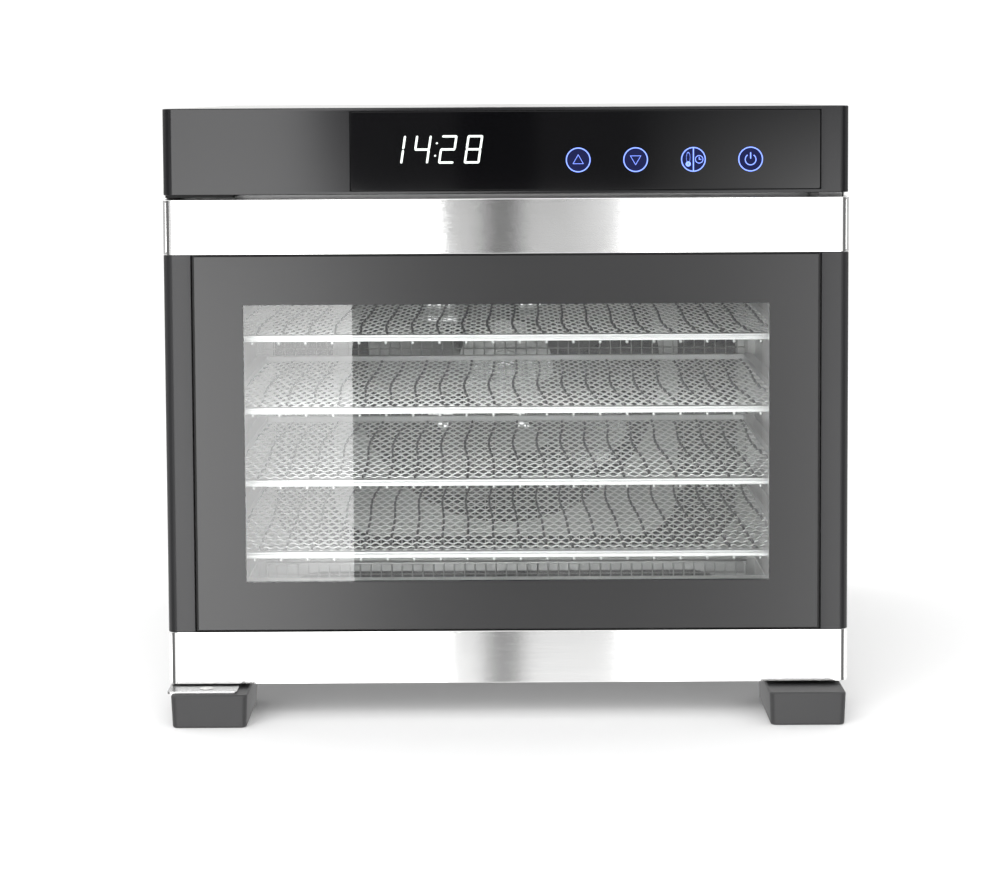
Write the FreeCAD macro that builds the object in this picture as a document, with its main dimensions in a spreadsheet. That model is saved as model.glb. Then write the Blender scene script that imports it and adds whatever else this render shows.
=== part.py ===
"""Front-loading food dehydrator: a steel cabinet with a side-hinged glass door, five woven wire
trays on guide ledges, a fan with a ring heater behind the cavity, and a touch control panel.

Frame: +X to the right, +Y to the back, +Z up, origin at the centre of the floor area that the
whole object covers, on the floor.  Millimetres.
"""
import FreeCAD, Part
import os
import re

import Sketcher
from FreeCAD import Vector

doc = FreeCAD.newDocument("food_dehydrator")
sheet = doc.addObject("Spreadsheet::Sheet", "size")

# Driving sizes: name, value in mm (or a plain count), meaning.
SIZES = [
    ("width", 345, "overall width"),
    ("depth", 450, "overall depth, front feet to motor cover"),
    ("height", 310, "overall height"),
    ("corner_round", 5, "radius of the upright front corners"),
    ("shell_sheet", 1.0, "sheet of the outer shell"),
    ("base_sheet", 1.2, "sheet of the base plate and the hinge plates"),
    ("cover_sheet", 1.2, "sheet of the rear cover"),
    ("motor_cover_high", 10.8, "how far the motor cover stands out of the rear cover"),
    ("motor_cover_wide", 150, "side of the square motor cover"),
    ("sheet_clear", 0.2, "clearance between sheets that slide into each other"),
    ("foot_high", 16.8, "height of a foot"),
    ("foot_wide", 38.5, "width of a foot"),
    ("foot_deep", 70, "depth of a foot"),
    ("foot_ahead", 20, "how far the front feet stand ahead of the door"),
    ("foot_inset", 3, "foot in from the side of the shell"),
    ("foot_round", 3, "rounding of a foot's upright edges"),
    ("panel_high", 43.5, "height of the control housing"),
    ("panel_setback", 3.5, "control housing behind the door's front"),
    ("panel_wall", 2.0, "wall of the control housing"),
    ("panel_gap", 2.1, "gap between the door and the control housing"),
    ("control_left", -77.8, "left edge of the control glass"),
    ("control_right", 157.9, "right edge of the control glass"),
    ("control_border", 2.0, "housing left above and below the control glass"),
    ("control_thick", 1.6, "thickness of the control glass"),
    ("control_proud", 0.4, "control glass stands out of the housing"),
    ("display_left", -60, "left edge of the display"),
    ("display_wide", 56, "width of the display"),
    ("display_high", 20, "height of the display"),
    ("board_thick", 1.6, "thickness of the circuit boards"),
    ("door_thick", 22, "thickness of the door"),
    ("door_gap", 3, "gap between the door and the cabinet"),
    ("door_under", 1.8, "door's lower edge above the feet"),
    ("band_top_high", 27.7, "height of the door's upper band"),
    ("band_low_high", 26.7, "height of the door's lower band"),
    ("band_sheet", 1.2, "sheet of the door's bands"),
    ("band_joint", 1.0, "gap between the bands and the glass"),
    ("post_wide", 14.1, "width of the door's side posts"),
    ("post_wall", 1.5, "wall of the door's side posts"),
    ("glass_thick", 4, "thickness of the door glass"),
    ("glass_back", 0.6, "door glass behind the front of the bands"),
    ("glass_gap", 1.5, "gap between the door glass and a post"),
    ("window_border", 24.4, "border of the door glass round the clear window"),
    ("surround_sheet", 1.2, "sheet of the surround behind the glass"),
    ("frame_sheet", 1.2, "sheet of the door's inner frame and the cabinet's front frame"),
    ("seal_wide", 4, "width of the door seal"),
    ("seal_clear", 0.3, "seal short of the cabinet's front"),
    ("seal_outside", 2, "seal outside the cavity's mouth"),
    ("hinge_in", 1.25, "hinge bushes in from the side and the back of the door"),
    ("hinge_pin", 4, "diameter of the hinge pins"),
    ("hinge_fit", 0.05, "radial clearance of the hinge pins"),
    ("hinge_margin", 3, "hinge plates beyond the pin's centre"),
    ("hinge_reach", 32, "hinge plates inwards from the pin's centre"),
    ("bush_wall", 0.7, "wall of the hinge bushes"),
    ("bush_flange", 0.7, "thickness of a bush's flange"),
    ("bush_deep", 9, "depth of a bush in the door"),
    ("cavity_wide", 310, "width inside the liner"),
    ("cavity_deep", 326, "cabinet front to the fan wall"),
    ("cavity_floor", 27, "height of the liner's floor"),
    ("cavity_roof", 254, "height of the liner's roof"),
    ("liner_sheet", 0.8, "sheet of the liner and the fan wall"),
    ("lowest_rail", 44.0, "top of a tray on the lowest guides"),
    ("tray_pitch", 37.4, "distance between guide levels"),
    ("tray_wide", 305, "width of a tray"),
    ("tray_deep", 310, "depth of a tray"),
    ("tray_high", 3.3, "height of a tray's frame"),
    ("tray_bar", 6, "width of a tray's frame"),
    ("tray_setback", 6, "tray behind the cabinet's front"),
    ("tray_clear", 0.3, "clearance between a tray and its ledges"),
    ("rod_thick", 1.5, "diameter of the rods that run front to back"),
    ("rod_pitch", 13.75, "distance between rods"),
    ("wire_thick", 1.0, "diameter of the cross wires"),
    ("wire_pitch", 13.0, "distance between cross wires"),
    ("wire_clear", 0.05, "cross wires above the rods"),
    ("deck_edge", 0.8, "width of the strip round a tray's deck"),
    ("guide_wide", 6.5, "width of a guide ledge"),
    ("guide_sheet", 1.0, "thickness of a guide ledge"),
    ("guard_wire", 0.9, "diameter of the fan guard's wires"),
    ("guard_pitch", 6.5, "distance between the guard's wires, both ways"),
    ("guard_edge", 1.5, "width of the strip round the guard"),
    ("guard_margin", 5, "guard in from the liner's sides"),
    ("guard_head", 9, "room left above the guard for the temperature probe"),
    ("guard_back", 1, "guard in front of the fan wall"),
    ("probe_in", 32, "temperature probe in from the liner's side"),
    ("probe_thick", 4, "diameter of the temperature probe"),
    ("outlet_side", 11, "fan wall left at the sides of its opening"),
    ("outlet_foot", 7, "fan wall left below its opening"),
    ("outlet_head", 11, "fan wall left above its opening"),
    ("outlet_round", 30, "rounding of the fan wall's opening"),
    ("fan_axis", 146, "height of the fan's axis"),
    ("baffle_wide", 214, "width of the baffle"),
    ("baffle_high", 208, "height of the baffle"),
    ("baffle_foot", 15, "baffle above the cavity's floor"),
    ("baffle_round", 28, "rounding of the baffle's corners"),
    ("baffle_hole", 192, "diameter of the baffle's hole"),
    ("baffle_behind", 2, "baffle behind the fan wall"),
    ("baffle_post", 5, "diameter of the baffle's posts"),
    ("post_out", 92, "baffle's posts from its middle, across and up"),
    ("blade_tip", 86, "fan axis to a blade's tip"),
    ("blade_root", 26, "fan axis to a blade's root"),
    ("blade_chord", 46, "width of a blade"),
    ("blade_tilt", 22, "tilt of a blade, in degrees"),
    ("fan_plate", 1.2, "thickness of the impeller's plate and blades"),
    ("hub_plate", 62, "diameter of the impeller's hub plate"),
    ("fan_hub", 22, "diameter of the impeller's boss"),
    ("fan_mid", 16, "middle of the impeller behind the fan wall"),
    ("heater_ring", 200, "diameter of the heater at its tube's centre"),
    ("heater_tube", 6.5, "diameter of the heater's tube"),
    ("heater_end", 9, "heater's terminals from the middle"),
    ("shaft_thick", 6, "diameter of the motor shaft"),
    ("shaft_fit", 0.05, "radial clearance of the shaft in the motor"),
    ("motor_wide", 62, "diameter of the motor"),
    ("motor_deep", 24, "depth of the motor"),
    ("motor_bracket_sheet", 1.5, "sheet of the motor bracket"),
    ("motor_bracket_high", 52, "height of the motor bracket"),
    ("motor_room", 6, "room behind the motor"),
    ("inlet_across", 120, "power inlet right of the centre"),
    ("inlet_up", 48, "height of the power inlet's centre"),
    ("inlet_wide", 30, "width of the power inlet"),
    ("inlet_high", 22, "height of the power inlet"),
    ("inlet_wall", 3, "wall of the power inlet"),
    ("inlet_deep", 16, "depth of the power inlet's socket"),
    ("screw_head", 7, "diameter of a screw's head"),
    ("screw_head_high", 2, "height of a screw's head"),
    ("screw_shank", 3.5, "diameter of a screw's shank"),
]
GUIDE_LEVELS = 6
TRAYS = 5
BLADES = 5

for row, (name, value, meaning) in enumerate(SIZES, start=1):
    sheet.set("A%d" % row, meaning)
    sheet.set("B%d" % row, str(value))
    sheet.setAlias("B%d" % row, name)
doc.recompute()

# Places that follow from the driving sizes.
PLACES = {
    "half_width": "(width / 2)",
    "feet_front": "(-depth / 2)",
    "door_front": "(feet_front + foot_ahead)",
    "door_back": "(door_front + door_thick)",
    "cabinet_front": "(door_back + door_gap)",
    "cabinet_back": "(depth / 2 - motor_cover_high - cover_sheet)",
    "panel_front": "(door_front + panel_setback)",
    "panel_low": "(height - panel_high)",
    "door_top": "(panel_low - panel_gap)",
    "door_low": "(foot_high + door_under)",
    "glass_low": "(door_low + band_low_high + band_joint)",
    "glass_top": "(door_top - band_top_high - band_joint)",
    "glass_half": "(half_width - post_wide - glass_gap)",
    "glass_front": "(door_front + glass_back)",
    "window_half": "(glass_half - window_border)",
    "window_low": "(glass_low + window_border)",
    "window_top": "(glass_top - window_border)",
    "bush_half": "(hinge_pin / 2 + hinge_fit + bush_wall)",
    "hinge_x": "(hinge_in + bush_half - half_width)",
    "hinge_y": "(door_back - hinge_in - bush_half)",
    "inner_half": "(half_width - shell_sheet - sheet_clear)",
    "base_top": "(foot_high + base_sheet)",
    "inner_top": "(height - shell_sheet - sheet_clear)",
    "cavity_half": "(cavity_wide / 2)",
    "fan_wall_front": "(cabinet_front + cavity_deep)",
    "fan_wall_back": "(fan_wall_front + liner_sheet)",
    "frame_back": "(cabinet_front + frame_sheet)",
    "tray_front": "(cabinet_front + tray_setback)",
    "tray_back": "(tray_front + tray_deep)",
    "tray_half": "(tray_wide / 2)",
    "guard_half": "(cavity_half - guard_margin)",
    "guard_low": "(cavity_floor + 1)",
    "guard_top": "(cavity_roof - guard_head)",
    "guard_rear": "(fan_wall_front - guard_back)",
    "baffle_low": "(cavity_floor + baffle_foot)",
    "baffle_top": "(baffle_low + baffle_high)",
    "baffle_middle": "(baffle_low + baffle_high / 2)",
    "baffle_front": "(fan_wall_back + baffle_behind)",
    "baffle_rear": "(baffle_front + liner_sheet)",
    "probe_x": "(cavity_half - probe_in)",
    "probe_z": "(cavity_roof - guard_head / 2)",
    "impeller_mid": "(fan_wall_back + fan_mid)",
    "bracket_front": "(cabinet_back - motor_room - motor_deep - motor_bracket_sheet)",
    "motor_front": "(bracket_front + motor_bracket_sheet)",
}
ALIASES = {name for name, value, meaning in SIZES}
nodes = []
screws = []


def formula(text):
    """Write a formula of plain names as an expression that reads the sheet."""
    def spelled(match):
        word = match.group()
        if word in PLACES:
            return formula(PLACES[word])
        return "size." + word if word in ALIASES else word
    return re.sub(r"[a-z_]+", spelled, str(text))


def bind(piece, **wanted):
    """Bind properties to formulas; two underscores stand for the dot in a property's path."""
    for path, text in wanted.items():
        piece.setExpression(path.replace("__", "."), formula(text))


def new_body(name, several=False, **placed):
    """A PartDesign body that becomes a node; several allows it to hold separate solids."""
    made = doc.addObject("PartDesign::Body", name)
    made.Label = name
    made.AllowCompound = several
    bind(made, **placed)
    nodes.append(made)
    return made


def origin_part(part, role):
    return next(item for item in part.Origin.OriginFeatures if item.Role == role)


def draw(part, plane, outline, at):
    """A fully bound sketch on an origin plane of the body, at a place along that plane's axis."""
    drawn = part.newObject("Sketcher::SketchObject", part.Name + "_sketch")
    drawn.AttachmentSupport = [(origin_part(part, plane + "_Plane"), "")]
    drawn.MapMode = "FlatFace"
    bind(drawn, AttachmentOffset__Base__z="-(%s)" % at if plane == "XZ" else at)
    for kind, *places in outline:
        (rectangle if kind == "rect" else circle)(drawn, *places)
    return drawn


def pin_down(sketch, constraint, text):
    index = sketch.addConstraint(constraint)
    sketch.setExpression("Constraints[%d]" % index, formula(text))


def rectangle(sketch, left, right, low, high):
    first = sketch.GeometryCount
    corners = [Vector(0, 0, 0), Vector(9, 0, 0), Vector(9, 9, 0), Vector(0, 9, 0)]
    for n in range(4):
        sketch.addGeometry(Part.LineSegment(corners[n], corners[(n + 1) % 4]), False)
    for n in range(4):
        sketch.addConstraint(Sketcher.Constraint("Coincident", first + n, 2, first + (n + 1) % 4, 1))
        way = "Horizontal" if n % 2 == 0 else "Vertical"
        sketch.addConstraint(Sketcher.Constraint(way, first + n))
    pin_down(sketch, Sketcher.Constraint("DistanceX", -1, 1, first, 1, 1.0), left)
    pin_down(sketch, Sketcher.Constraint("DistanceX", -1, 1, first, 2, 9.0), right)
    pin_down(sketch, Sketcher.Constraint("DistanceY", -1, 1, first, 1, 1.0), low)
    pin_down(sketch, Sketcher.Constraint("DistanceY", -1, 1, first + 2, 1, 9.0), high)


def circle(sketch, across, up, radius):
    index = sketch.addGeometry(Part.Circle(Vector(1, 1, 0), Vector(0, 0, 1), 2.0), False)
    pin_down(sketch, Sketcher.Constraint("Radius", index, 2.0), radius)
    pin_down(sketch, Sketcher.Constraint("DistanceX", -1, 1, index, 3, 1.0), across)
    pin_down(sketch, Sketcher.Constraint("DistanceY", -1, 1, index, 3, 1.0), up)


def add(part, plane, outline, low, high, **placed):
    """Pad an outline from one place to another along the plane's axis."""
    made = part.newObject("PartDesign::Pad", part.Name + "_pad")
    made.Profile = draw(part, plane, outline, high if plane == "XZ" else low)
    bind(made.Profile[0], **placed)
    bind(made, Length="(%s) - (%s)" % (high, low))
    part.Tip = made
    doc.recompute()
    return made


def cut(part, plane, outline, low, high):
    """Pocket an outline from one place to another, and see that it takes material away."""
    before = part.Shape.Volume
    made = part.newObject("PartDesign::Pocket", part.Name + "_pocket")
    made.Profile = draw(part, plane, outline, low if plane == "XZ" else high)
    bind(made, Length="(%s) - (%s)" % (high, low))
    part.Tip = made
    doc.recompute()
    if not part.Shape.Volume < before:
        raise RuntimeError("%s: the pocket takes nothing away" % part.Name)
    return made


def repeat(part, feature, axis, length, count):
    """Repeat a feature in a row; the length is from the first to the last."""
    made = part.newObject("PartDesign::LinearPattern", part.Name + "_row")
    made.Originals = [feature]
    made.Direction = (origin_part(part, axis + "_Axis"), [""])
    bind(made, Length=length, Occurrences=count)
    part.Tip = made
    doc.recompute()
    return made


def round_edges(part, radius, chosen):
    """Fillet the straight edges that the test picks by their middle and direction."""
    names = []
    base = part.Tip
    for number, edge in enumerate(base.Shape.Edges, start=1):
        if len(edge.Vertexes) == 2 and edge.Curve.TypeId == "Part::GeomLine":
            along = edge.Vertexes[1].Point - edge.Vertexes[0].Point
            if chosen(edge.CenterOfMass, along.normalize()):
                names.append("Edge%d" % number)
    made = part.newObject("PartDesign::Fillet", part.Name + "_fillet")
    made.Base = (base, names)
    bind(made, Radius=radius)
    part.Tip = made
    doc.recompute()
    return made


def upright(middle, along):
    return abs(along.z) > 0.99


def box(name, x, y, z):
    """A Part box between bound places."""
    made = doc.addObject("Part::Box", name)
    bind(made, Length="(%s) - (%s)" % (x[1], x[0]), Width="(%s) - (%s)" % (y[1], y[0]),
         Height="(%s) - (%s)" % (z[1], z[0]), Placement__Base__x=x[0], Placement__Base__y=y[0],
         Placement__Base__z=z[0])
    return made


def rod(name, radius, length, place, way):
    """A Part cylinder with its start at a bound place, along +Y, -Y, +Z or -Z."""
    made = doc.addObject("Part::Cylinder", name)
    turns = {"Y": (Vector(1, 0, 0), -90), "-Y": (Vector(1, 0, 0), 90),
             "Z": (Vector(0, 0, 1), 0), "-Z": (Vector(1, 0, 0), 180)}
    made.Placement.Rotation = FreeCAD.Rotation(*turns[way])
    bind(made, Radius=radius, Height=length, Placement__Base__x=place[0],
         Placement__Base__y=place[1], Placement__Base__z=place[2])
    return made


def join(name, pieces, kind="Part::MultiFuse"):
    """Fuse pieces into one solid, or keep them as a group of separate solids."""
    made = doc.addObject(kind, name)
    setattr(made, "Links" if kind == "Part::Compound" else "Shapes", pieces)
    return keep(made)


def keep(piece):
    piece.Label = piece.Name
    nodes.append(piece)
    return piece


def screw(name, place, way, back, length, head="screw_head_high"):
    """A screw whose head stands on a bound place and whose shank goes the other way."""
    whole = doc.addObject("Part::MultiFuse", name)
    whole.Shapes = [rod(name + "_head", "screw_head / 2", head, place, way),
                    rod(name + "_shank", "screw_shank / 2", length, place, back)]
    screws.append(whole)


def screw_hole(part, plane, places, low, high):
    cut(part, plane, [("circle", across, up, "screw_shank / 2 + sheet_clear")
                      for across, up in places], low, high)


# ---------------------------------------------------------------- cabinet

def outer_shell():
    """Folded sheet over the top and both sides, open in front, behind and below."""
    part = new_body("outer_shell")
    add(part, "XZ", [("rect", "-half_width", "half_width", "foot_high", "height")],
        "cabinet_front", "cabinet_back")
    round_edges(part, "corner_round / 2",
                lambda middle, along: abs(along.y) > 0.99 and middle.z > sheet.height - 1)
    cut(part, "XZ", [("rect", "shell_sheet - half_width", "half_width - shell_sheet",
                      "foot_high - 1", "height - shell_sheet")], "cabinet_front", "cabinet_back")


def base_plate():
    """Flat bottom sheet with a row of air slots under the fan room."""
    part = new_body("base_plate")
    add(part, "XY", [("rect", "-inner_half", "inner_half", "cabinet_front", "cabinet_back")],
        "foot_high", "base_top")
    slot = cut(part, "XY", [("rect", "-70", "-66", "fan_wall_back + 12", "fan_wall_back + 44")],
               "foot_high", "base_top")
    repeat(part, slot, "X", "136", 12)


def rear_cover():
    """Back sheet with air slots, the hole for the inlet and a round hole behind the motor."""
    part = new_body("rear_cover")
    add(part, "XZ", [("rect", "-half_width", "half_width", "foot_high", "height")],
        "cabinet_back", "cabinet_back + cover_sheet")
    cut(part, "XZ", [("circle", "0", "fan_axis", "motor_cover_wide / 2 - 14"),
                     ("rect", "inlet_across - inlet_wide / 2 + inlet_wall - 1",
                      "inlet_across + inlet_wide / 2 - inlet_wall + 1",
                      "inlet_up - inlet_high / 2 + inlet_wall - 1",
                      "inlet_up + inlet_high / 2 - inlet_wall + 1")],
        "cabinet_back", "cabinet_back + cover_sheet")
    slot = cut(part, "XZ", [("rect", "-100", "-60", "height - 44", "height - 41")],
               "cabinet_back", "cabinet_back + cover_sheet")
    repeat(part, slot, "Z", "21", 4)
    slot = cut(part, "XZ", [("rect", "60", "100", "height - 44", "height - 41")],
               "cabinet_back", "cabinet_back + cover_sheet")
    repeat(part, slot, "Z", "21", 4)


def motor_cover():
    """Pressed square cover over the motor, with air slots in its face."""
    part = new_body("motor_cover")
    side = "motor_cover_wide / 2"
    add(part, "XZ", [("rect", "-" + side, side, "fan_axis - " + side, "fan_axis + " + side)],
        "cabinet_back + cover_sheet", "depth / 2")
    round_edges(part, "corner_round * 2", lambda middle, along: abs(along.y) > 0.99)
    inner = side + " - cover_sheet"
    cut(part, "XZ", [("rect", "-(%s)" % inner, inner, "fan_axis - (%s)" % inner,
                      "fan_axis + " + inner)], "cabinet_back + cover_sheet",
        "depth / 2 - cover_sheet")
    slot = cut(part, "XZ", [("rect", "-50", "50", "fan_axis - 45", "fan_axis - 41.5")],
               "depth / 2 - cover_sheet", "depth / 2")
    repeat(part, slot, "Z", "86.5", 11)


def power_inlet():
    """Panel-mount mains inlet: a shroud with a deep socket, and a flange behind the cover."""
    part = new_body("power_inlet")
    left, right = "inlet_across - inlet_wide / 2", "inlet_across + inlet_wide / 2"
    low, high = "inlet_up - inlet_high / 2", "inlet_up + inlet_high / 2"
    add(part, "XZ", [("rect", left, right, low, high)],
        "cabinet_back - inlet_deep - inlet_wall", "cabinet_back")
    add(part, "XZ", [("rect", left + " + inlet_wall - 0.8", right + " - inlet_wall + 0.8",
                      low + " + inlet_wall - 0.8", high + " - inlet_wall + 0.8")],
        "cabinet_back", "cabinet_back + cover_sheet")
    cut(part, "XZ", [("rect", left + " + inlet_wall", right + " - inlet_wall",
                      low + " + inlet_wall", high + " - inlet_wall")],
        "cabinet_back - inlet_deep", "cabinet_back + cover_sheet")
    pins = []
    for name, across, up in (("pin_live", "-7", "0.5"), ("pin_earth", "0", "4"),
                             ("pin_neutral", "7", "0.5")):
        middle_x, middle_z = "inlet_across + (%s)" % across, "inlet_up + " + up
        pins.append(box(name, (middle_x + " - 1", middle_x + " + 1"),
                        ("cabinet_back - inlet_deep", "cabinet_back - 1"),
                        (middle_z + " - 2", middle_z + " + 2")))
    join("inlet_pins", pins, "Part::Compound")


def front_frame():
    """Front sheet of the cabinet: the cavity's mouth, and a hole for the control wiring."""
    part = new_body("front_frame")
    add(part, "XZ", [("rect", "-inner_half", "inner_half", "base_top", "inner_top")],
        "cabinet_front", "frame_back")
    cut(part, "XZ", [("rect", "-cavity_half", "cavity_half", "cavity_floor", "cavity_roof"),
                     ("rect", "-60", "-20", "panel_low + 10", "panel_low + 30")],
        "cabinet_front", "frame_back")


def liner():
    """Cavity lining: floor, roof, and two side sheets with the pressed guide ledges."""
    outer = "cavity_half + liner_sheet"
    length = ("frame_back", "fan_wall_front")
    keep(box("liner_floor", ("-(%s)" % outer, outer), length,
             ("cavity_floor - liner_sheet", "cavity_floor")))
    keep(box("liner_roof", ("-(%s)" % outer, outer), length,
             ("cavity_roof", "cavity_roof + liner_sheet")))
    for name, sign in (("liner_left", -1), ("liner_right", 1)):
        part = new_body(name)
        inner_x, outer_x = "cavity_half", outer
        ledge = ("cavity_half - guide_wide", "cavity_half + liner_sheet / 2")
        if sign < 0:
            wall = ("-(%s)" % outer_x, "-" + inner_x)
            ledge = ("-(%s)" % ledge[1], "-(%s)" % ledge[0])
        else:
            wall = (inner_x, outer_x)
        top = "lowest_rail - tray_high - tray_clear"
        add(part, "XZ", [("rect", *wall, "cavity_floor", "cavity_roof")], *length)
        shelf = add(part, "XZ", [("rect", *ledge, top + " - guide_sheet", top)],
                    "tray_front + 2", "tray_back")
        repeat(part, shelf, "Z", "%d * tray_pitch" % (GUIDE_LEVELS - 1), GUIDE_LEVELS)


def fan_wall():
    """Back sheet of the cavity with a wide opening; air comes back round the baffle's edges."""
    part = new_body("fan_wall")
    sides = ("fan_wall_front", "fan_wall_back")
    add(part, "XZ", [("rect", "-inner_half", "inner_half", "base_top", "inner_top")], *sides)
    cut(part, "XZ", [("rect", "outlet_side - cavity_half", "cavity_half - outlet_side",
                      "cavity_floor + outlet_foot", "cavity_roof - outlet_head"),
                     ("circle", "probe_x", "probe_z", "probe_thick / 2 + sheet_clear")], *sides)
    round_edges(part, "outlet_round", lambda middle, along: abs(along.y) > 0.99
                and abs(middle.x) < sheet.cavity_wide / 2)


def fan_baffle():
    """Plate with the fan's round inlet, welded clips for the heater, and its four posts."""
    part = new_body("fan_baffle")
    add(part, "XZ", [("rect", "-baffle_wide / 2", "baffle_wide / 2", "baffle_low", "baffle_top")],
        "baffle_front", "baffle_rear")
    round_edges(part, "baffle_round", lambda middle, along: abs(along.y) > 0.99)
    cut(part, "XZ", [("circle", "0", "fan_axis", "baffle_hole / 2")], "baffle_front",
        "baffle_rear")
    near, far = "heater_ring / 2 - 3", "heater_ring / 2 + 4"
    for clip in (("-5", "5", "fan_axis + " + near, "fan_axis + heater_ring / 2 + 3"),
                 (near, far, "fan_axis - 5", "fan_axis + 5"),
                 ("-(%s)" % far, "-(%s)" % near, "fan_axis - 5", "fan_axis + 5")):
        add(part, "XZ", [("rect", *clip)], "baffle_rear", "impeller_mid - heater_tube / 2")
    posts = [rod("post_%s_%s" % (side, end), "baffle_post / 2", "cabinet_back - baffle_rear",
                 (across, "baffle_rear", up), "Y")
             for side, across in (("left", "-post_out"), ("right", "post_out"))
             for end, up in (("low", "baffle_middle - post_out"),
                            ("high", "baffle_middle + post_out"))]
    join("baffle_posts", posts, "Part::Compound")


def fan_guard():
    """Welded square wire mesh in front of the fan wall, in a narrow edge strip."""
    part = new_body("fan_guard")
    depth = ("guard_rear - 2 * guard_wire - wire_clear", "guard_rear")
    add(part, "XZ", [("rect", "-guard_half", "guard_half", "guard_low", "guard_top")], *depth)
    cut(part, "XZ", [("rect", "guard_edge - guard_half", "guard_half - guard_edge",
                      "guard_low + guard_edge", "guard_top - guard_edge")], *depth)
    across = int((sheet.cavity_wide - 2 * sheet.guard_margin) / sheet.guard_pitch - 1)
    tall = sheet.cavity_roof - sheet.guard_head - sheet.cavity_floor - 1
    rise = int(tall / sheet.guard_pitch - 1)
    wire = add(part, "XY", [("circle", "-%d * guard_pitch / 2" % across,
                             depth[0] + " + guard_wire / 2", "guard_wire / 2")],
               "guard_low + guard_edge / 2", "guard_top - guard_edge / 2")
    repeat(part, wire, "X", "%d * guard_pitch" % across, across + 1)
    bar = add(part, "YZ", [("circle", "guard_rear - guard_wire / 2",
                            "(guard_low + guard_top - %d * guard_pitch) / 2" % rise,
                            "guard_wire / 2")],
              "guard_edge / 2 - guard_half", "guard_half - guard_edge / 2")
    repeat(part, bar, "Z", "%d * guard_pitch" % rise, rise + 1)


def heater():
    """Ring-shaped tubular heater round the fan; its two terminals point to the back."""
    ring = doc.addObject("Part::Torus", "heater_loop")
    ring.Placement.Rotation = FreeCAD.Rotation(Vector(1, 0, 0), 90)
    bind(ring, Radius1="heater_ring / 2", Radius2="heater_tube / 2",
         Placement__Base__y="impeller_mid", Placement__Base__z="fan_axis")
    ends = [rod("heater_end_%s" % side, "heater_tube / 2", "30",
                (across, "impeller_mid", "fan_axis - heater_ring / 2"), "Y")
            for side, across in (("left", "-heater_end"), ("right", "heater_end"))]
    join("heater", [ring] + ends)


def fan_motor():
    """Shaded-pole motor can on a bridge bracket; a bored boss in front guides the shaft."""
    part = new_body("fan_motor", Placement__Base__z="fan_axis")
    add(part, "XZ", [("circle", "0", "0", "motor_wide / 2")], "motor_front",
        "motor_front + motor_deep")
    add(part, "XZ", [("circle", "0", "0", "shaft_thick * 1.2")], "bracket_front - 2",
        "motor_front + 1")
    cut(part, "XZ", [("circle", "0", "0", "shaft_thick / 2 + shaft_fit")], "bracket_front - 2",
        "motor_front + motor_deep / 2")
    part = new_body("motor_bracket")
    add(part, "XZ", [("rect", "-inner_half", "inner_half",
                      "fan_axis - motor_bracket_high / 2", "fan_axis + motor_bracket_high / 2")],
        "bracket_front", "motor_front")
    cut(part, "XZ", [("circle", "0", "fan_axis", "shaft_thick * 1.2 + sheet_clear")],
        "bracket_front", "motor_front")


def sensors():
    """Bimetal cut-out on the fan wall, and the temperature probe that reaches into the cavity."""
    keep(rod("thermal_cutout", "8", "9", ("-110", "fan_wall_back", "cavity_roof + 20"), "Y"))
    keep(rod("temperature_probe", "probe_thick / 2", "38",
             ("probe_x", "fan_wall_back + 14", "probe_z"), "-Y"))


def control_panel():
    """Front housing above the door with its glass, display, touch board and power board."""
    part = new_body("control_housing")
    add(part, "XY", [("rect", "-half_width", "half_width", "panel_front", "cabinet_front")],
        "panel_low", "height")
    round_edges(part, "corner_round",
                lambda middle, along: upright(middle, along) and middle.y < sheet_front() + 4)
    round_edges(part, "corner_round / 2",
                lambda middle, along: abs(along.y) > 0.99 and middle.z > sheet.height - 1)
    cut(part, "XZ", [("rect", "panel_wall - half_width", "half_width - panel_wall",
                      "panel_low + panel_wall", "height - panel_wall")],
        "panel_front + panel_wall", "cabinet_front")
    recess = "panel_front + control_thick - control_proud"
    cut(part, "XZ", [("rect", "control_left - sheet_clear", "control_right + sheet_clear",
                      "panel_low + control_border - sheet_clear",
                      "height - control_border + sheet_clear")], "panel_front", recess)
    cut(part, "XZ", [("rect", "control_left + 8", "control_right - 8",
                      "panel_low + control_border + 6", "height - control_border - 6")],
        recess, "panel_front + panel_wall")
    part = new_body("control_glass")
    add(part, "XZ", [("rect", "control_left", "control_right", "panel_low + control_border",
                      "height - control_border")], "panel_front - control_proud", recess)
    round_edges(part, "1", lambda middle, along: abs(along.y) > 0.99)
    middle = "(panel_low + panel_high / 2)"
    keep(box("display_module", ("display_left", "display_left + display_wide"),
             (recess, recess + " + 5"),
             (middle + " - display_high / 2", middle + " + display_high / 2")))
    keep(box("touch_board", ("control_left + 10", "control_right - 10"),
             (recess + " + 5", recess + " + 5 + board_thick"),
             ("panel_low + control_border + 7", "height - control_border - 7")))
    board_low = "cavity_roof + liner_sheet + 6"
    board_top = board_low + " + board_thick"
    parts = [box("power_circuit", ("-70", "70"), ("-110", "0"), (board_low, board_top)),
             box("transformer", ("-60", "-20"), ("-100", "-60"), (board_top + " - 0.5",
                                                                  board_top + " + 28")),
             box("relay", ("0", "20"), ("-90", "-72"), (board_top + " - 0.5",
                                                        board_top + " + 16")),
             rod("capacitor", "6", "22", ("45", "-40", board_top + " - 0.5"), "Z")]
    parts += [rod("board_leg_%d" % n, "3", "6.5", (x, y, "cavity_roof + liner_sheet"), "Z")
              for n, (x, y) in enumerate((("-64", "-104"), ("64", "-104"), ("-64", "-6"),
                                          ("64", "-6")))]
    join("power_board", parts)


def sheet_front():
    """The control housing's front as a number, for picking its edges."""
    return sheet.foot_ahead - sheet.depth / 2 + sheet.panel_setback


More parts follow.
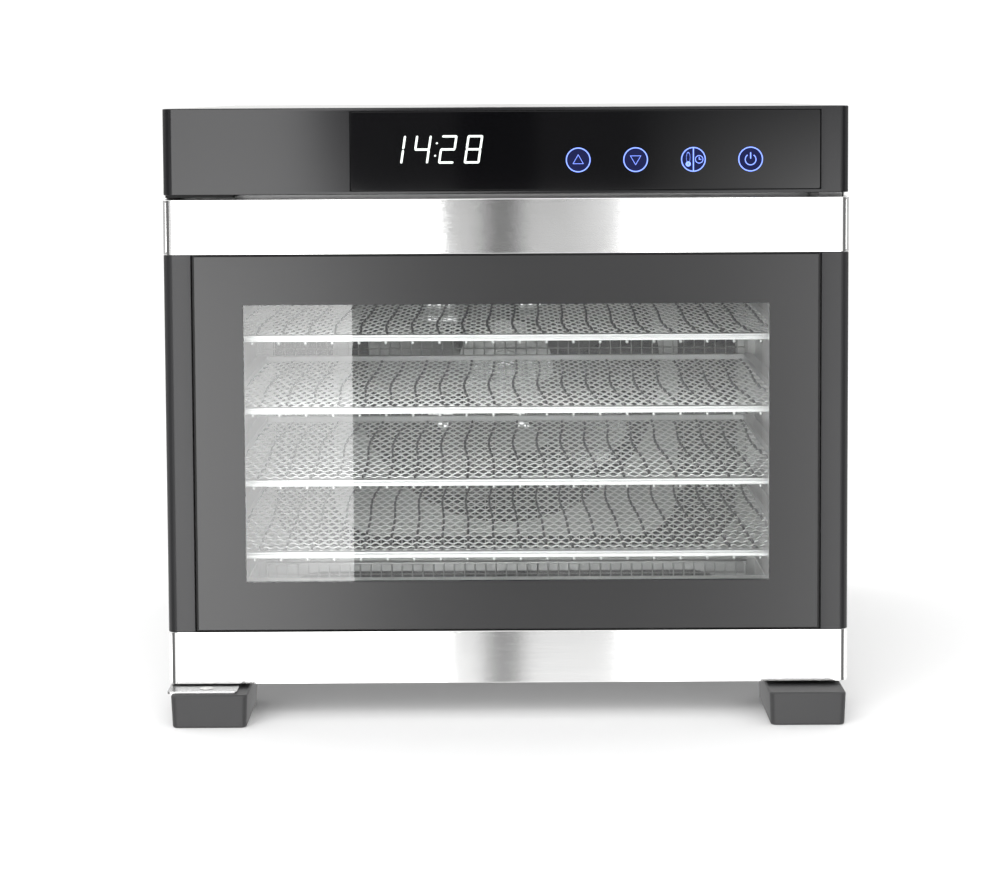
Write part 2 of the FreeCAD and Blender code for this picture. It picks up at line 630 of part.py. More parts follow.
def feet():
    """Four moulded feet; the front pair stands out ahead of the door."""
    outer, inner = "half_width - foot_inset", "half_width - foot_inset - foot_wide"
    front = ("feet_front", "feet_front + foot_deep")
    back = ("cabinet_back - foot_deep", "cabinet_back")
    holes = []
    for name, sign, (near, far) in (("foot_front_left", "-", front),
                                    ("foot_front_right", "", front),
                                    ("foot_rear_left", "-", back), ("foot_rear_right", "", back)):
        edges = ("-(%s)" % outer, "-(%s)" % inner) if sign else (inner, outer)
        part = new_body(name)
        add(part, "XY", [("rect", *edges, near, far)], "0", "foot_high")
        round_edges(part, "foot_round", upright)
        spot = ("%s(half_width - foot_inset - foot_wide / 2)" % sign,
                far + " - 9" if near == "feet_front" else near + " + 9")
        screw_hole(part, "XY", [spot], "foot_high - 12", "foot_high")
        screw("screw_" + name, (*spot, "base_top"), "Z", "-Z", "10 + base_sheet")
        holes.append(spot)
    screw_hole(doc.getObject("base_plate"), "XY", holes, "foot_high", "base_top")


def hinge():
    """Two steel plates on the cabinet carry the pins that the door turns on."""
    plate_x = ("hinge_x - hinge_margin", "hinge_x + hinge_reach")
    part = new_body("hinge_plate_upper")
    add(part, "XY", [("rect", *plate_x, "hinge_y - 12", "cabinet_front")],
        "panel_low - base_sheet", "panel_low")
    round_edges(part, "1.5", lambda middle, along: upright(middle, along)
                and middle.y < sheet_front() + 20)
    spot = ("hinge_x + hinge_reach / 2", "feet_front + 12")
    part = new_body("hinge_plate_lower")
    add(part, "XY", [("rect", *plate_x, "feet_front + 4", "cabinet_front")],
        "foot_high", "base_top")
    round_edges(part, "1.5", lambda middle, along: upright(middle, along)
                and middle.y < sheet_front() + 20)
    screw_hole(part, "XY", [spot], "foot_high", "base_top")
    screw_hole(doc.getObject("foot_front_left"), "XY", [spot], "foot_high - 12", "foot_high")
    screw("screw_hinge_plate", (*spot, "base_top"), "Z", "-Z", "10", head="0.2")
    keep(rod("hinge_pin_upper", "hinge_pin / 2", "bush_deep + panel_gap - base_sheet - 1",
             ("hinge_x", "hinge_y", "door_top - bush_deep + 1"), "Z"))
    keep(rod("hinge_pin_lower", "hinge_pin / 2", "bush_deep + door_under - base_sheet - 1",
             ("hinge_x", "hinge_y", "base_top"), "Z"))


def catch():
    """Magnet behind the cabinet's front, its steel plate on the door, and a stop at the top."""
    keep(box("catch_magnet", ("cavity_half + 4", "inner_half - 3"),
             ("frame_back", "frame_back + 8"), ("fan_axis", "fan_axis + 36")))
    keep(box("catch_plate", ("cavity_half + 7", "half_width - band_sheet - 2"),
             ("door_back", "door_back + 1.2"), ("fan_axis", "fan_axis + 36")))
    keep(box("door_stop", ("cavity_half - 1.6", "cavity_half + 2.4"),
             ("panel_front + 1", "cabinet_front - 4"), ("panel_low - 1.5", "panel_low")))


def cover_screws():
    """Screws that hold the rear cover."""
    face = "cabinet_back + cover_sheet"
    spots = [(x, z) for z in ("foot_high + 12", "height - 12")
             for x in ("12 - half_width", "-50", "50", "half_width - 12")]
    for n, (x, z) in enumerate(spots):
        screw("screw_cover_%d" % n, (x, face, z), "Y", "-Y", "8.5")
    screw_hole(doc.getObject("rear_cover"), "XZ", spots, "cabinet_back", face)


# ---------------------------------------------------------------- fan

def fan():
    """Five tilted blades on a hub plate and boss, pressed on the shaft and held by a nut."""
    part = new_body("fan_impeller", Placement__Base__z="fan_axis")
    plate = ("impeller_mid - fan_plate / 2", "impeller_mid + fan_plate / 2")
    add(part, "XZ", [("circle", "0", "0", "hub_plate / 2")], *plate)
    blade = add(part, "YZ", [("rect", "-fan_plate / 2", "fan_plate / 2", "-blade_chord / 2",
                              "blade_chord / 2")], "blade_root", "blade_tip",
                AttachmentOffset__Base__x="impeller_mid",
                AttachmentOffset__Rotation__Angle="blade_tilt")
    ring = part.newObject("PartDesign::PolarPattern", "blades")
    ring.Originals = [blade]
    ring.Axis = (origin_part(part, "Y_Axis"), [""])
    ring.Angle = 360
    ring.Occurrences = BLADES
    part.Tip = ring
    doc.recompute()
    boss = ("impeller_mid - 6", "impeller_mid + 9")
    add(part, "XZ", [("circle", "0", "0", "fan_hub / 2")], *boss)
    cut(part, "XZ", [("circle", "0", "0", "shaft_thick / 2")], *boss)
    keep(rod("motor_shaft", "shaft_thick / 2",
             "motor_front + motor_deep / 2 - 1 - (impeller_mid - 11)",
             ("0", "impeller_mid - 11", "fan_axis"), "Y"))
    nut = ("impeller_mid - 10", "impeller_mid - 6")
    part = new_body("impeller_nut", Placement__Base__z="fan_axis")
    add(part, "XZ", [("circle", "0", "0", "shaft_thick")], *nut)
    cut(part, "XZ", [("circle", "0", "0", "shaft_thick / 2")], *nut)


# ---------------------------------------------------------------- door

def door_bands():
    """Folded steel channels along the top and the foot of the door, open to the back."""
    for name, low, high in (("door_band_upper", "door_top - band_top_high", "door_top"),
                            ("door_band_lower", "door_low", "door_low + band_low_high")):
        part = new_body(name)
        add(part, "XY", [("rect", "-half_width", "half_width", "door_front", "door_back")],
            low, high)
        round_edges(part, "corner_round",
                    lambda middle, along: upright(middle, along) and middle.y < sheet_front())
        cut(part, "XZ", [("rect", "band_sheet - half_width", "half_width - band_sheet",
                          low + " + band_sheet", high + " - band_sheet")],
            "door_front + band_sheet", "door_back")
        if name == "door_band_upper":
            through = (high + " - band_sheet", high)
            lip = (low + " - 1", high + " - band_sheet")
        else:
            through = (low, low + " + band_sheet")
            lip = (low + " + band_sheet", high + " + 1")
        cut(part, "XZ", [("rect", "band_sheet - half_width", "half_width - band_sheet", *lip)],
            "door_back - frame_sheet", "door_back")
        cut(part, "XY", [("circle", "hinge_x", "hinge_y", "bush_half")], *through)


def door_posts():
    """Hollow uprights between the bands."""
    for name, edges in (("door_post_left", ("-half_width", "post_wide - half_width")),
                        ("door_post_right", ("half_width - post_wide", "half_width"))):
        part = new_body(name)
        height = ("door_low + band_low_high", "door_top - band_top_high")
        add(part, "XY", [("rect", *edges, "door_front", "door_back - frame_sheet")], *height)
        outer = -1 if "left" in name else 1
        round_edges(part, "corner_round",
                    lambda middle, along: upright(middle, along) and middle.y < sheet_front()
                    and middle.x * outer > sheet.width / 2 - 1)
        left, right = edges
        cut(part, "XY", [("rect", left + " + corner_round", right + " - corner_round",
                          "door_front + corner_round", "door_back - frame_sheet - post_wall")],
            *height)


def door_glass():
    """Front glass, and the steel surround behind its border."""
    part = new_body("door_glass")
    outline = ("rect", "-glass_half", "glass_half", "glass_low", "glass_top")
    add(part, "XZ", [outline], "glass_front", "glass_front + glass_thick")
    part = new_body("glass_surround")
    behind = ("glass_front + glass_thick", "glass_front + glass_thick + surround_sheet")
    add(part, "XZ", [outline], *behind)
    cut(part, "XZ", [("rect", "-window_half", "window_half", "window_low", "window_top")], *behind)


def door_inner_frame():
    """Back sheet of the door with a collar round the window that reaches the surround."""
    part = new_body("door_inner_frame")
    collar = "frame_sheet + 1"
    opening = ("rect", "-(window_half + 1)", "window_half + 1", "window_low - 1", "window_top + 1")
    around = ("rect", "-(window_half + %s)" % collar, "window_half + " + collar,
              "window_low - (%s)" % collar, "window_top + " + collar)
    inset = "band_sheet + sheet_clear"
    add(part, "XZ", [("rect", "-(half_width - (%s))" % inset, "half_width - (%s)" % inset,
                      "door_low + " + inset, "door_top - (%s)" % inset)],
        "door_back - frame_sheet", "door_back")
    add(part, "XZ", [around], "glass_front + glass_thick + surround_sheet", "door_back")
    cut(part, "XZ", [opening], "glass_front + glass_thick + surround_sheet", "door_back")
    part = new_body("door_seal")
    inner_x, outer_x = "cavity_half + seal_outside", "cavity_half + seal_outside + seal_wide"
    low, high = "cavity_floor - seal_outside", "cavity_roof + seal_outside"
    depth = ("door_back", "cabinet_front - seal_clear")
    add(part, "XZ", [("rect", "-(%s)" % outer_x, outer_x, low + " - seal_wide",
                      high + " + seal_wide")], *depth)
    cut(part, "XZ", [("rect", "-(%s)" % inner_x, inner_x, low, high)], *depth)


def hinge_bushes():
    """Flanged plastic bushes in the door's ends."""
    for name, body_z, flange_z in (
            ("hinge_bush_upper", ("door_top - bush_deep", "door_top"),
             ("door_top", "door_top + bush_flange")),
            ("hinge_bush_lower", ("door_low", "door_low + bush_deep"),
             ("door_low", "door_low + bush_flange"))):
        part = new_body(name)
        add(part, "XY", [("circle", "hinge_x", "hinge_y", "bush_half")], *body_z)
        if "upper" in name:
            add(part, "XY", [("circle", "hinge_x", "hinge_y", "bush_half + 0.8")], *flange_z)
        cut(part, "XY", [("circle", "hinge_x", "hinge_y", "hinge_pin / 2 + hinge_fit")],
            body_z[0], flange_z[1] if "upper" in name else body_z[1])


# ---------------------------------------------------------------- trays

def tray(number, level):
    """Bar frame with a wire deck: rods from front to back under it, cross wires on the rods."""
    rail = "lowest_rail + %d * tray_pitch" % (level - 1)
    frame = new_body("tray_%d_frame" % number, Placement__Base__z=rail)
    add(frame, "XY", [("rect", "-tray_half", "tray_half", "tray_front", "tray_back")],
        "-tray_high", "0")
    cut(frame, "XY", [("rect", "tray_bar - tray_half", "tray_half - tray_bar",
                       "tray_front + tray_bar", "tray_back - tray_bar")], "-tray_high", "0")
    deck = new_body("tray_%d_wires" % number, Placement__Base__z=rail)
    wire_top = "wire_clear + wire_thick - tray_high"
    edges = ("tray_bar - tray_half", "tray_half - tray_bar")
    ends = ("tray_front + tray_bar", "tray_back - tray_bar")
    height = ("-tray_high - rod_thick", wire_top)
    add(deck, "XY", [("rect", *edges, *ends)], *height)
    cut(deck, "XY", [("rect", edges[0] + " + deck_edge", edges[1] + " - deck_edge",
                      ends[0] + " + deck_edge", ends[1] + " - deck_edge")], *height)
    gaps = int((sheet.tray_wide - 2 * sheet.tray_bar) / sheet.rod_pitch - 0.2)
    one = add(deck, "XZ", [("circle", "-%d * rod_pitch / 2" % gaps,
                            "-tray_high - rod_thick / 2", "rod_thick / 2")],
              "tray_front + 0.5", "tray_back - 0.5")
    repeat(deck, one, "X", "%d * rod_pitch" % gaps, gaps + 1)
    steps = int((sheet.tray_deep - 2 * sheet.tray_bar) / sheet.wire_pitch - 0.5)
    middle = "(tray_front + tray_back) / 2"
    one = add(deck, "YZ", [("circle", middle + " - %d * wire_pitch / 2" % steps,
                            wire_top + " - wire_thick / 2", "wire_thick / 2")],
              edges[0] + " + deck_edge / 2", edges[1] + " - deck_edge / 2")
    repeat(deck, one, "Y", "%d * wire_pitch" % steps, steps + 1)


outer_shell()
base_plate()
rear_cover()
motor_cover()
power_inlet()
front_frame()
liner()
fan_wall()
fan_baffle()
fan_guard()
heater()
fan_motor()
sensors()
control_panel()
feet()
hinge()
catch()
cover_screws()
fan()
door_bands()
door_posts()
door_glass()
door_inner_frame()
hinge_bushes()
for number in range(1, TRAYS + 1):
    tray(number, number + 1)
join("screws", screws, "Part::Compound")
doc.recompute()

for item in doc.Objects:
    if "Invalid" in item.State or "Error" in item.State:
        raise RuntimeError("%s is %s" % (item.Name, item.State))
for node in nodes:
    if node.Shape.isNull() or not node.Shape.isValid():
        raise RuntimeError("%s has no valid shape" % node.Label)

os.makedirs("parts", exist_ok=True)
for node in nodes:
    node.Shape.exportStep(os.path.join("parts", node.Label + ".step"))
print("%d nodes" % len(nodes))
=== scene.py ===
import math

import bpy
from mathutils import Matrix, Vector


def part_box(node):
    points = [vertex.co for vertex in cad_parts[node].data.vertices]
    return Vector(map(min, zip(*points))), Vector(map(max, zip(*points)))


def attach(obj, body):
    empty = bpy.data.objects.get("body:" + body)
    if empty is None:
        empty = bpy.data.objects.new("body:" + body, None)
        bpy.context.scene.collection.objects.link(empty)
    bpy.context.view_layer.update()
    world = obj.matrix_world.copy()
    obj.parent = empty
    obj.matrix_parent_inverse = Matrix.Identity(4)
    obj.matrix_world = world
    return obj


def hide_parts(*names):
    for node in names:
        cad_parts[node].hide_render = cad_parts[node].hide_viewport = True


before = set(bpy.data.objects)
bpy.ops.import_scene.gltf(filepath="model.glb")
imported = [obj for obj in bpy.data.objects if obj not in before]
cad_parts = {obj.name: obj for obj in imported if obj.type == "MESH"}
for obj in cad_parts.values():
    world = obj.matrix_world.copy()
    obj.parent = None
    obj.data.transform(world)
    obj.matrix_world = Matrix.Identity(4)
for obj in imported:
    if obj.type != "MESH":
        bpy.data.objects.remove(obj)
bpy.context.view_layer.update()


# ---- Studio: a white floor that runs out of sight, and white surroundings. The front mirrors a
# bright softbox on the left, a weaker one on the right, the dim room between them, and the gap
# that the camera looks through. The camera itself sees plain white behind the machine.
MM = 0.001
camera_place = Vector((-3.3, -1705, 317.3)) * MM
bpy.ops.object.select_all(action="DESELECT")
bpy.ops.object.camera_add(location=camera_place)
camera = bpy.context.object
camera.name = "front_camera"
tilt, roll = math.radians(90 - 4.70), math.radians(-0.3)
camera.rotation_euler = (Matrix.Rotation(tilt, 3, "X") @ Matrix.Rotation(roll, 3, "Z")).to_euler()
camera.data.sensor_width = 36
camera.data.lens = 107.7
camera.data.shift_y = -0.1
camera.data.clip_start = 0.01
bpy.context.scene.camera = camera
bpy.context.scene.view_settings.view_transform = "Standard"

bpy.ops.mesh.primitive_plane_add(size=60)
floor = bpy.context.object
floor.name = "studio_floor"
floor.visible_glossy = False
paper = bpy.data.materials.new("floor_paper")
paper.use_nodes = True
paper_shader = paper.node_tree.nodes["Principled BSDF"]
paper_shader.inputs["Base Color"].default_value = (0.93, 0.93, 0.93, 1)
paper_shader.inputs["Roughness"].default_value = 0.9
paper_shader.inputs["Specular IOR Level"].default_value = 0.1
floor.data.materials.append(paper)


def link(tree, start, end):
    """Joins an output to an input, or sets the input if the start is a plain value."""
    if isinstance(start, (int, float, tuple)):
        end.default_value = start
    else:
        tree.links.new(start, end)


def maths(tree, kind, first, second=0.0, third=0.0):
    """One arithmetic node and its result."""
    node = tree.nodes.new("ShaderNodeMath")
    node.operation = kind
    for value, socket in zip((first, second, third), node.inputs):
        link(tree, value, socket)
    return node.outputs[0]


def within(tree, value, low, high):
    """1 where a value lies between two limits, otherwise 0."""
    above = maths(tree, "GREATER_THAN", value, low)
    below = maths(tree, "LESS_THAN", value, high)
    return maths(tree, "MULTIPLY", above, below)


def ramp(tree, value, start, end):
    """0 at a start, rising evenly to 1 at an end."""
    slope = 1 / (end - start)
    rising = maths(tree, "MULTIPLY_ADD", value, slope, -start * slope)
    return maths(tree, "MINIMUM", maths(tree, "MAXIMUM", rising, 0.0), 1.0)


world = bpy.data.worlds.new("studio")
bpy.context.scene.world = world
world.use_nodes = True
sky = world.node_tree
toward = sky.nodes.new("ShaderNodeTexCoord").outputs["Generated"]
split = sky.nodes.new("ShaderNodeSeparateXYZ")
sky.links.new(toward, split.inputs[0])
ahead = maths(sky, "MAXIMUM", maths(sky, "MULTIPLY", split.outputs["Y"], -1.0), 0.001)
across = maths(sky, "DIVIDE", split.outputs["X"], ahead)
upward = maths(sky, "DIVIDE", split.outputs["Z"], ahead)


def patch(*limits):
    """A rectangle of the surroundings, between two slopes sideways and two slopes upwards."""
    return maths(sky, "MULTIPLY", within(sky, across, *limits[:2]), within(sky, upward, *limits[2:]))


softbox_edge, left_end, right_end = -0.0496, -0.35, 0.5
panel_foot, panel_head, lowest = -0.034, 0.10, -0.4
softbox = patch(left_end, softbox_edge, lowest, panel_foot)
fading = maths(sky, "MULTIPLY", patch(left_end, 0.0, panel_foot, panel_head),
               ramp(sky, across, -0.078, -0.112))
right_box = maths(sky, "MULTIPLY", patch(0.0, right_end, lowest, panel_foot),
                  ramp(sky, across, 0.082, 0.115))
right_glow = maths(sky, "MULTIPLY", patch(0.0, right_end, panel_foot, panel_head),
                   ramp(sky, across, 0.045, 0.115))
right_glow = maths(sky, "MULTIPLY", right_glow, ramp(sky, upward, 0.01, panel_foot))
dim_room = patch(-0.9, right_end, panel_foot, panel_head)
doorway = patch(softbox_edge, 0.088, -0.170, -0.066)
camera_gap = patch(-0.0140, 0.0125, lowest, 0.3)
flag_near, flag_far = 0.9, 6.0
flags = maths(sky, "ADD", within(sky, across, -flag_far, -flag_near),
              within(sky, across, flag_near, flag_far))
far_sides = maths(sky, "SUBTRACT", 1.0, within(sky, across, -flag_far, flag_far))
far_sides = maths(sky, "MULTIPLY", far_sides, within(sky, split.outputs["Z"], -0.12, 0.12))
overhead = maths(sky, "GREATER_THAN", split.outputs["Z"], 0.25)
daylight = 1.12
level = daylight
for place_in_it, change in ((softbox, 4.0), (fading, 3.8), (right_box, 2.6), (right_glow, 2.6),
                            (flags, -0.95), (far_sides, -0.6), (overhead, 0.3), (dim_room, -0.95),
                            (doorway, -0.80), (camera_gap, -0.70)):
    level = maths(sky, "MULTIPLY_ADD", place_in_it, change, level)
darkest = 0.06
level = maths(sky, "MAXIMUM", level, darkest)
seen = sky.nodes.new("ShaderNodeLightPath").outputs["Is Camera Ray"]
level = maths(sky, "MULTIPLY_ADD", seen, maths(sky, "SUBTRACT", daylight, level), level)
sky.nodes["Background"].inputs["Color"].default_value = (1, 1, 1, 1)
sky.links.new(level, sky.nodes["Background"].inputs["Strength"])

bpy.ops.object.light_add(type="AREA", location=(-0.5, -1.9, 0.9))
key = bpy.context.object
key.name = "front_light"
key.data.shape = "RECTANGLE"
key.data.size, key.data.size_y = 1.6, 1.2
key.data.energy = 24
key.visible_glossy = False
key.rotation_euler = (Vector((0, -0.1, 0.15)) - key.location).to_track_quat("-Z", "Y").to_euler()


# ---- Outer shell: one sheet of brushed stainless steel, folded down at both sides. Its upper
# edges are rolled, and it slides over the front frame and the rear cover.
spare = 1 * MM      # cutters stand out this far, and edges this near a face count as on it


def block(name, low, high):
    """A new block between two corners, alone in the selection, with its place in its mesh."""
    bpy.ops.object.select_all(action="DESELECT")
    low, high = Vector(low), Vector(high)
    bpy.ops.mesh.primitive_cube_add(size=1, location=(low + high) / 2)
    piece = bpy.context.object
    piece.name = name
    piece.scale = high - low
    bpy.ops.object.transform_apply()
    return piece


def pick_faces(piece, wanted):
    """Edit mode, with only the faces whose middle and normal pass a test."""
    bpy.ops.object.mode_set(mode="EDIT")
    bpy.ops.mesh.select_mode(type="FACE")
    bpy.ops.mesh.select_all(action="DESELECT")
    bpy.ops.object.mode_set(mode="OBJECT")
    for face in piece.data.polygons:
        face.select = wanted(face.center, face.normal)
    bpy.ops.object.mode_set(mode="EDIT")


def pick_edges(piece, wanted):
    """Edit mode, with only the edges whose middle and direction pass a test."""
    bpy.ops.object.mode_set(mode="EDIT")
    bpy.ops.mesh.select_mode(type="EDGE")
    bpy.ops.mesh.select_all(action="DESELECT")
    bpy.ops.object.mode_set(mode="OBJECT")
    corners = piece.data.vertices
    for edge in piece.data.edges:
        start, end = (corners[n].co for n in edge.vertices)
        edge.select = wanted((start + end) / 2, (end - start).normalized())
    bpy.ops.object.mode_set(mode="EDIT")


def round_off(piece, width, wanted, steps=5):
    """Rounds chosen edges with an edit-mode bevel."""
    pick_edges(piece, wanted)
    bpy.ops.mesh.bevel(offset=width, segments=steps, affect="EDGES", clamp_overlap=True)
    bpy.ops.object.mode_set(mode="OBJECT")


sharp = math.radians(40)


def soften(piece, width, steps=2):
    """Breaks every sharp edge a little, and shades the piece smooth between the edges."""
    bpy.ops.object.select_all(action="DESELECT")
    piece.select_set(True)
    bpy.context.view_layer.objects.active = piece
    bpy.ops.object.shade_smooth_by_angle(angle=sharp)
    bpy.ops.object.modifier_add(type="BEVEL")
    edge = piece.modifiers[-1]
    edge.width = width
    edge.segments = steps
    edge.limit_method = "ANGLE"
    edge.angle_limit = sharp
    edge.harden_normals = True
    bpy.ops.object.modifier_apply(modifier=edge.name)


def carve(piece, *cutters):
    """Cuts other pieces out of one, and removes them."""
    bpy.context.view_layer.objects.active = piece
    for cutter in cutters:
        bpy.ops.object.modifier_add(type="BOOLEAN")
        hole = piece.modifiers[-1]
        hole.operation = "DIFFERENCE"
        hole.solver = "EXACT"
        hole.object = cutter
        bpy.ops.object.modifier_apply(modifier=hole.name)
        bpy.data.objects.remove(cutter)


def place(piece, body, slot, material, *stands_for):
    """The finished piece takes its material and rides on its body."""
    piece.data.materials.clear()
    piece.data.materials.append(material)
    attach(piece, body)
    if stands_for:
        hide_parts(*stands_for)


def dress(material, *names):
    """CAD nodes whose shape is right keep it, and take a better material."""
    for name in names:
        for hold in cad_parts[name].material_slots:
            hold.material = material


def finish(name, colour, rough, metal=0.0, **fixed):
    """A material with a principled shader, whose plain sockets are set on the shader."""
    made = bpy.data.materials.new(name)
    made.use_nodes = True
    shader = made.node_tree.nodes["Principled BSDF"]
    shader.inputs["Base Color"].default_value = (*colour, 1)
    shader.inputs["Roughness"].default_value = rough
    shader.inputs["Metallic"].default_value = metal
    for socket, value in fixed.items():
        shader.inputs[socket.replace("_", " ")].default_value = value
    return made, made.node_tree, shader


def new_group(name, asked, given):
    """An empty node group with named inputs (with their values) and outputs."""
    group = bpy.data.node_groups.new(name, "ShaderNodeTree")
    for title, (kind, value) in asked.items():
        socket = group.interface.new_socket(name=title, in_out="INPUT", socket_type=kind)
        socket.default_value = value
    for title, kind in given.items():
        group.interface.new_socket(name=title, in_out="OUTPUT", socket_type=kind)
    return group, group.nodes.new("NodeGroupInput"), group.nodes.new("NodeGroupOutput")


def noise(tree, place_on, scale, detail=2.0, rough=0.5):
    """A noise pattern on a vector, from 0 to 1."""
    node = tree.nodes.new("ShaderNodeTexNoise")
    tree.links.new(place_on, node.inputs["Vector"])
    link(tree, scale, node.inputs["Scale"])
    node.inputs["Detail"].default_value = detail
    node.inputs["Roughness"].default_value = rough
    return node.outputs["Fac"]


FLOAT, VECTOR = "NodeSocketFloat", "NodeSocketVector"

# Brushing: fine scratches along one direction, and broad faint clouds from handling.
brushing, asked, given = new_group(
    "brushing", {"Stretch": (VECTOR, (1, 1, 1)), "Fineness": (FLOAT, 1.0)},
    {"Scratch": FLOAT, "Cloud": FLOAT, "Height": FLOAT})
here = brushing.nodes.new("ShaderNodeTexCoord").outputs["Object"]
drawn = brushing.nodes.new("ShaderNodeVectorMath")
drawn.operation = "MULTIPLY"
brushing.links.new(here, drawn.inputs[0])
brushing.links.new(asked.outputs["Stretch"], drawn.inputs[1])
fine = noise(brushing, drawn.outputs[0], asked.outputs["Fineness"], 3.0, 0.7)
coarse = noise(brushing, drawn.outputs[0], maths(brushing, "MULTIPLY", asked.outputs["Fineness"], 0.31))
both = maths(brushing, "MULTIPLY_ADD", coarse, 0.5, maths(brushing, "MULTIPLY", fine, 0.5))
brushing.links.new(both, given.inputs["Scratch"])
brushing.links.new(fine, given.inputs["Height"])
brushing.links.new(noise(brushing, here, 9.0, 3.0), given.inputs["Cloud"])


def brushed(name, colour, rough, along, depth=0.04, spread=0.25, metal=1.0, **fixed):
    """Brushed metal: scratches along X, Y or Z change its colour, its gloss and its height."""
    made, tree, shader = finish(name, colour, rough, metal, **fixed)
    pattern = tree.nodes.new("ShaderNodeGroup")
    pattern.node_tree = brushing
    stretch = tuple(0.012 if axis == along else 1.0 for axis in "XYZ")
    pattern.inputs["Stretch"].default_value = stretch
    pattern.inputs["Fineness"].default_value = 2600.0
    shade = tree.nodes.new("ShaderNodeMix")
    shade.data_type = "RGBA"
    tree.links.new(pattern.outputs["Scratch"], shade.inputs["Factor"])
    shade.inputs["A"].default_value = (*(value * (1 - spread) for value in colour), 1)
    shade.inputs["B"].default_value = (*(min(value * (1 + spread), 1) for value in colour), 1)
    tree.links.new(shade.outputs["Result"], shader.inputs["Base Color"])
    gloss = maths(tree, "MULTIPLY_ADD", pattern.outputs["Cloud"], rough * 0.35, rough * 0.83)
    tree.links.new(gloss, shader.inputs["Roughness"])
    bump = tree.nodes.new("ShaderNodeBump")
    bump.inputs["Strength"].default_value = depth
    bump.inputs["Distance"].default_value = 0.0002
    tree.links.new(pattern.outputs["Height"], bump.inputs["Height"])
    tree.links.new(bump.outputs["Normal"], shader.inputs["Normal"])
    return made


def fan_room_painted_shade(material, half_wide, back, top):
    """Darkens the faces of a sheet that look into the fan room to near black, not metallic: painted
    shade for the dark room.
    """
    tree = material.node_tree
    shader = tree.nodes["Principled BSDF"]
    spot = tree.nodes.new("ShaderNodeSeparateXYZ")
    tree.links.new(tree.nodes.new("ShaderNodeTexCoord").outputs["Object"], spot.inputs[0])
    mask = within(tree, spot.outputs["X"], -half_wide, half_wide)
    mask = maths(tree, "MULTIPLY", mask, maths(tree, "LESS_THAN", spot.outputs["Y"], back))
    mask = maths(tree, "MULTIPLY", mask, maths(tree, "LESS_THAN", spot.outputs["Z"], top))
    shade = tree.nodes.new("ShaderNodeMix")
    shade.data_type = "RGBA"
    tree.links.new(mask, shade.inputs["Factor"])
    tree.links.new(shader.inputs["Base Color"].links[0].from_socket, shade.inputs["A"])
    # Near black: painted shade for the fan room.
    shade.inputs["B"].default_value = (0.02, 0.02, 0.02, 1)
    tree.links.new(shade.outputs["Result"], shader.inputs["Base Color"])
    tree.links.new(maths(tree, "SUBTRACT", 1.0, mask), shader.inputs["Metallic"])


shell_steel = brushed("shell_steel", (0.60, 0.60, 0.59), 0.33, "Y", 0.05, 0.10)
low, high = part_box("outer_shell")
sheet, fold, within_sheet = 1.0 * MM, 2.5 * MM, 0.4 * MM
# The shell's inner faces and the rear cover's front are painted near black as shade in the fan room.
fan_room_painted_shade(shell_steel, high.x - within_sheet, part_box("rear_cover")[0].y + within_sheet,
       high.z - within_sheet)
shell = block("outer_shell_sheet", low, high)
round_off(shell, fold, lambda middle, way: abs(way.y) > 0.99 and middle.z > high.z - spare)
inside = block("shell_inside", (low.x + sheet, low.y - spare, low.z - spare),
               (high.x - sheet, high.y + spare, high.z - sheet))
round_off(inside, fold - sheet, lambda middle, way: abs(way.y) > 0.99 and middle.z > high.z - 2 * spare)
carve(shell, inside)
fine_edge = 0.25 * MM
soften(shell, fine_edge)
place(shell, "cabinet", "shell_steel", shell_steel, "outer_shell")


# ---- Control housing: a dark satin steel face above the door, folded round at its ends, with
# a shallow seat for the control glass.
def satin(name, colour, rough, metal=0.0, speck=900.0, depth=0.03, **fixed):
    """Enamel or moulded plastic: a fine orange-peel grain, with faint clouds in colour and gloss."""
    made, tree, shader = finish(name, colour, rough, metal, **fixed)
    pattern = tree.nodes.new("ShaderNodeGroup")
    pattern.node_tree = brushing
    pattern.inputs["Stretch"].default_value = (1.0, 1.0, 1.0)
    pattern.inputs["Fineness"].default_value = speck
    shade = tree.nodes.new("ShaderNodeMix")
    shade.data_type = "RGBA"
    tree.links.new(pattern.outputs["Cloud"], shade.inputs["Factor"])
    shade.inputs["A"].default_value = (*(value * 0.85 for value in colour), 1)
    shade.inputs["B"].default_value = (*(min(value * 1.15, 1) for value in colour), 1)
    tree.links.new(shade.outputs["Result"], shader.inputs["Base Color"])
    gloss = maths(tree, "MULTIPLY_ADD", pattern.outputs["Scratch"], rough * 0.3, rough * 0.85)
    tree.links.new(gloss, shader.inputs["Roughness"])
    bump = tree.nodes.new("ShaderNodeBump")
    bump.inputs["Strength"].default_value = depth
    bump.inputs["Distance"].default_value = 0.0003
    tree.links.new(pattern.outputs["Height"], bump.inputs["Height"])
    tree.links.new(bump.outputs["Normal"], shader.inputs["Normal"])
    return made


panel_steel = brushed("panel_steel", (0.010, 0.010, 0.011), 0.13, "X", 0.004, 0.05, metal=0.0,
                      Specular_IOR_Level=0.42)
low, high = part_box("control_housing")
glass_low, glass_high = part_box("control_glass")
glass_proud, seat_gap, housing_fold, housing_sheet = 0.4 * MM, 0.25 * MM, 5 * MM, 2 * MM
front = glass_low.y + glass_proud
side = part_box("outer_shell")[1].x
housing = block("control_housing_shell", (-side, front, low.z), (side, high.y, high.z))
round_off(housing, housing_fold, lambda middle, way: abs(way.z) > 0.99 and middle.y < front + spare)
pick_faces(housing, lambda middle, normal: normal.y > 0.99)
bpy.ops.mesh.inset(thickness=housing_sheet)
hollow = (0, front + housing_sheet - high.y, 0)
bpy.ops.mesh.extrude_region_move(TRANSFORM_OT_translate={"value": hollow})
bpy.ops.object.mode_set(mode="OBJECT")
seat = block("glass_seat", (glass_low.x - seat_gap, front - spare, glass_low.z - seat_gap),
             (glass_high.x + seat_gap, glass_high.y, glass_high.z + seat_gap))
carve(housing, seat)
soften(housing, 2 * fine_edge, 3)
place(housing, "cabinet", "panel_steel", panel_steel, "control_housing")


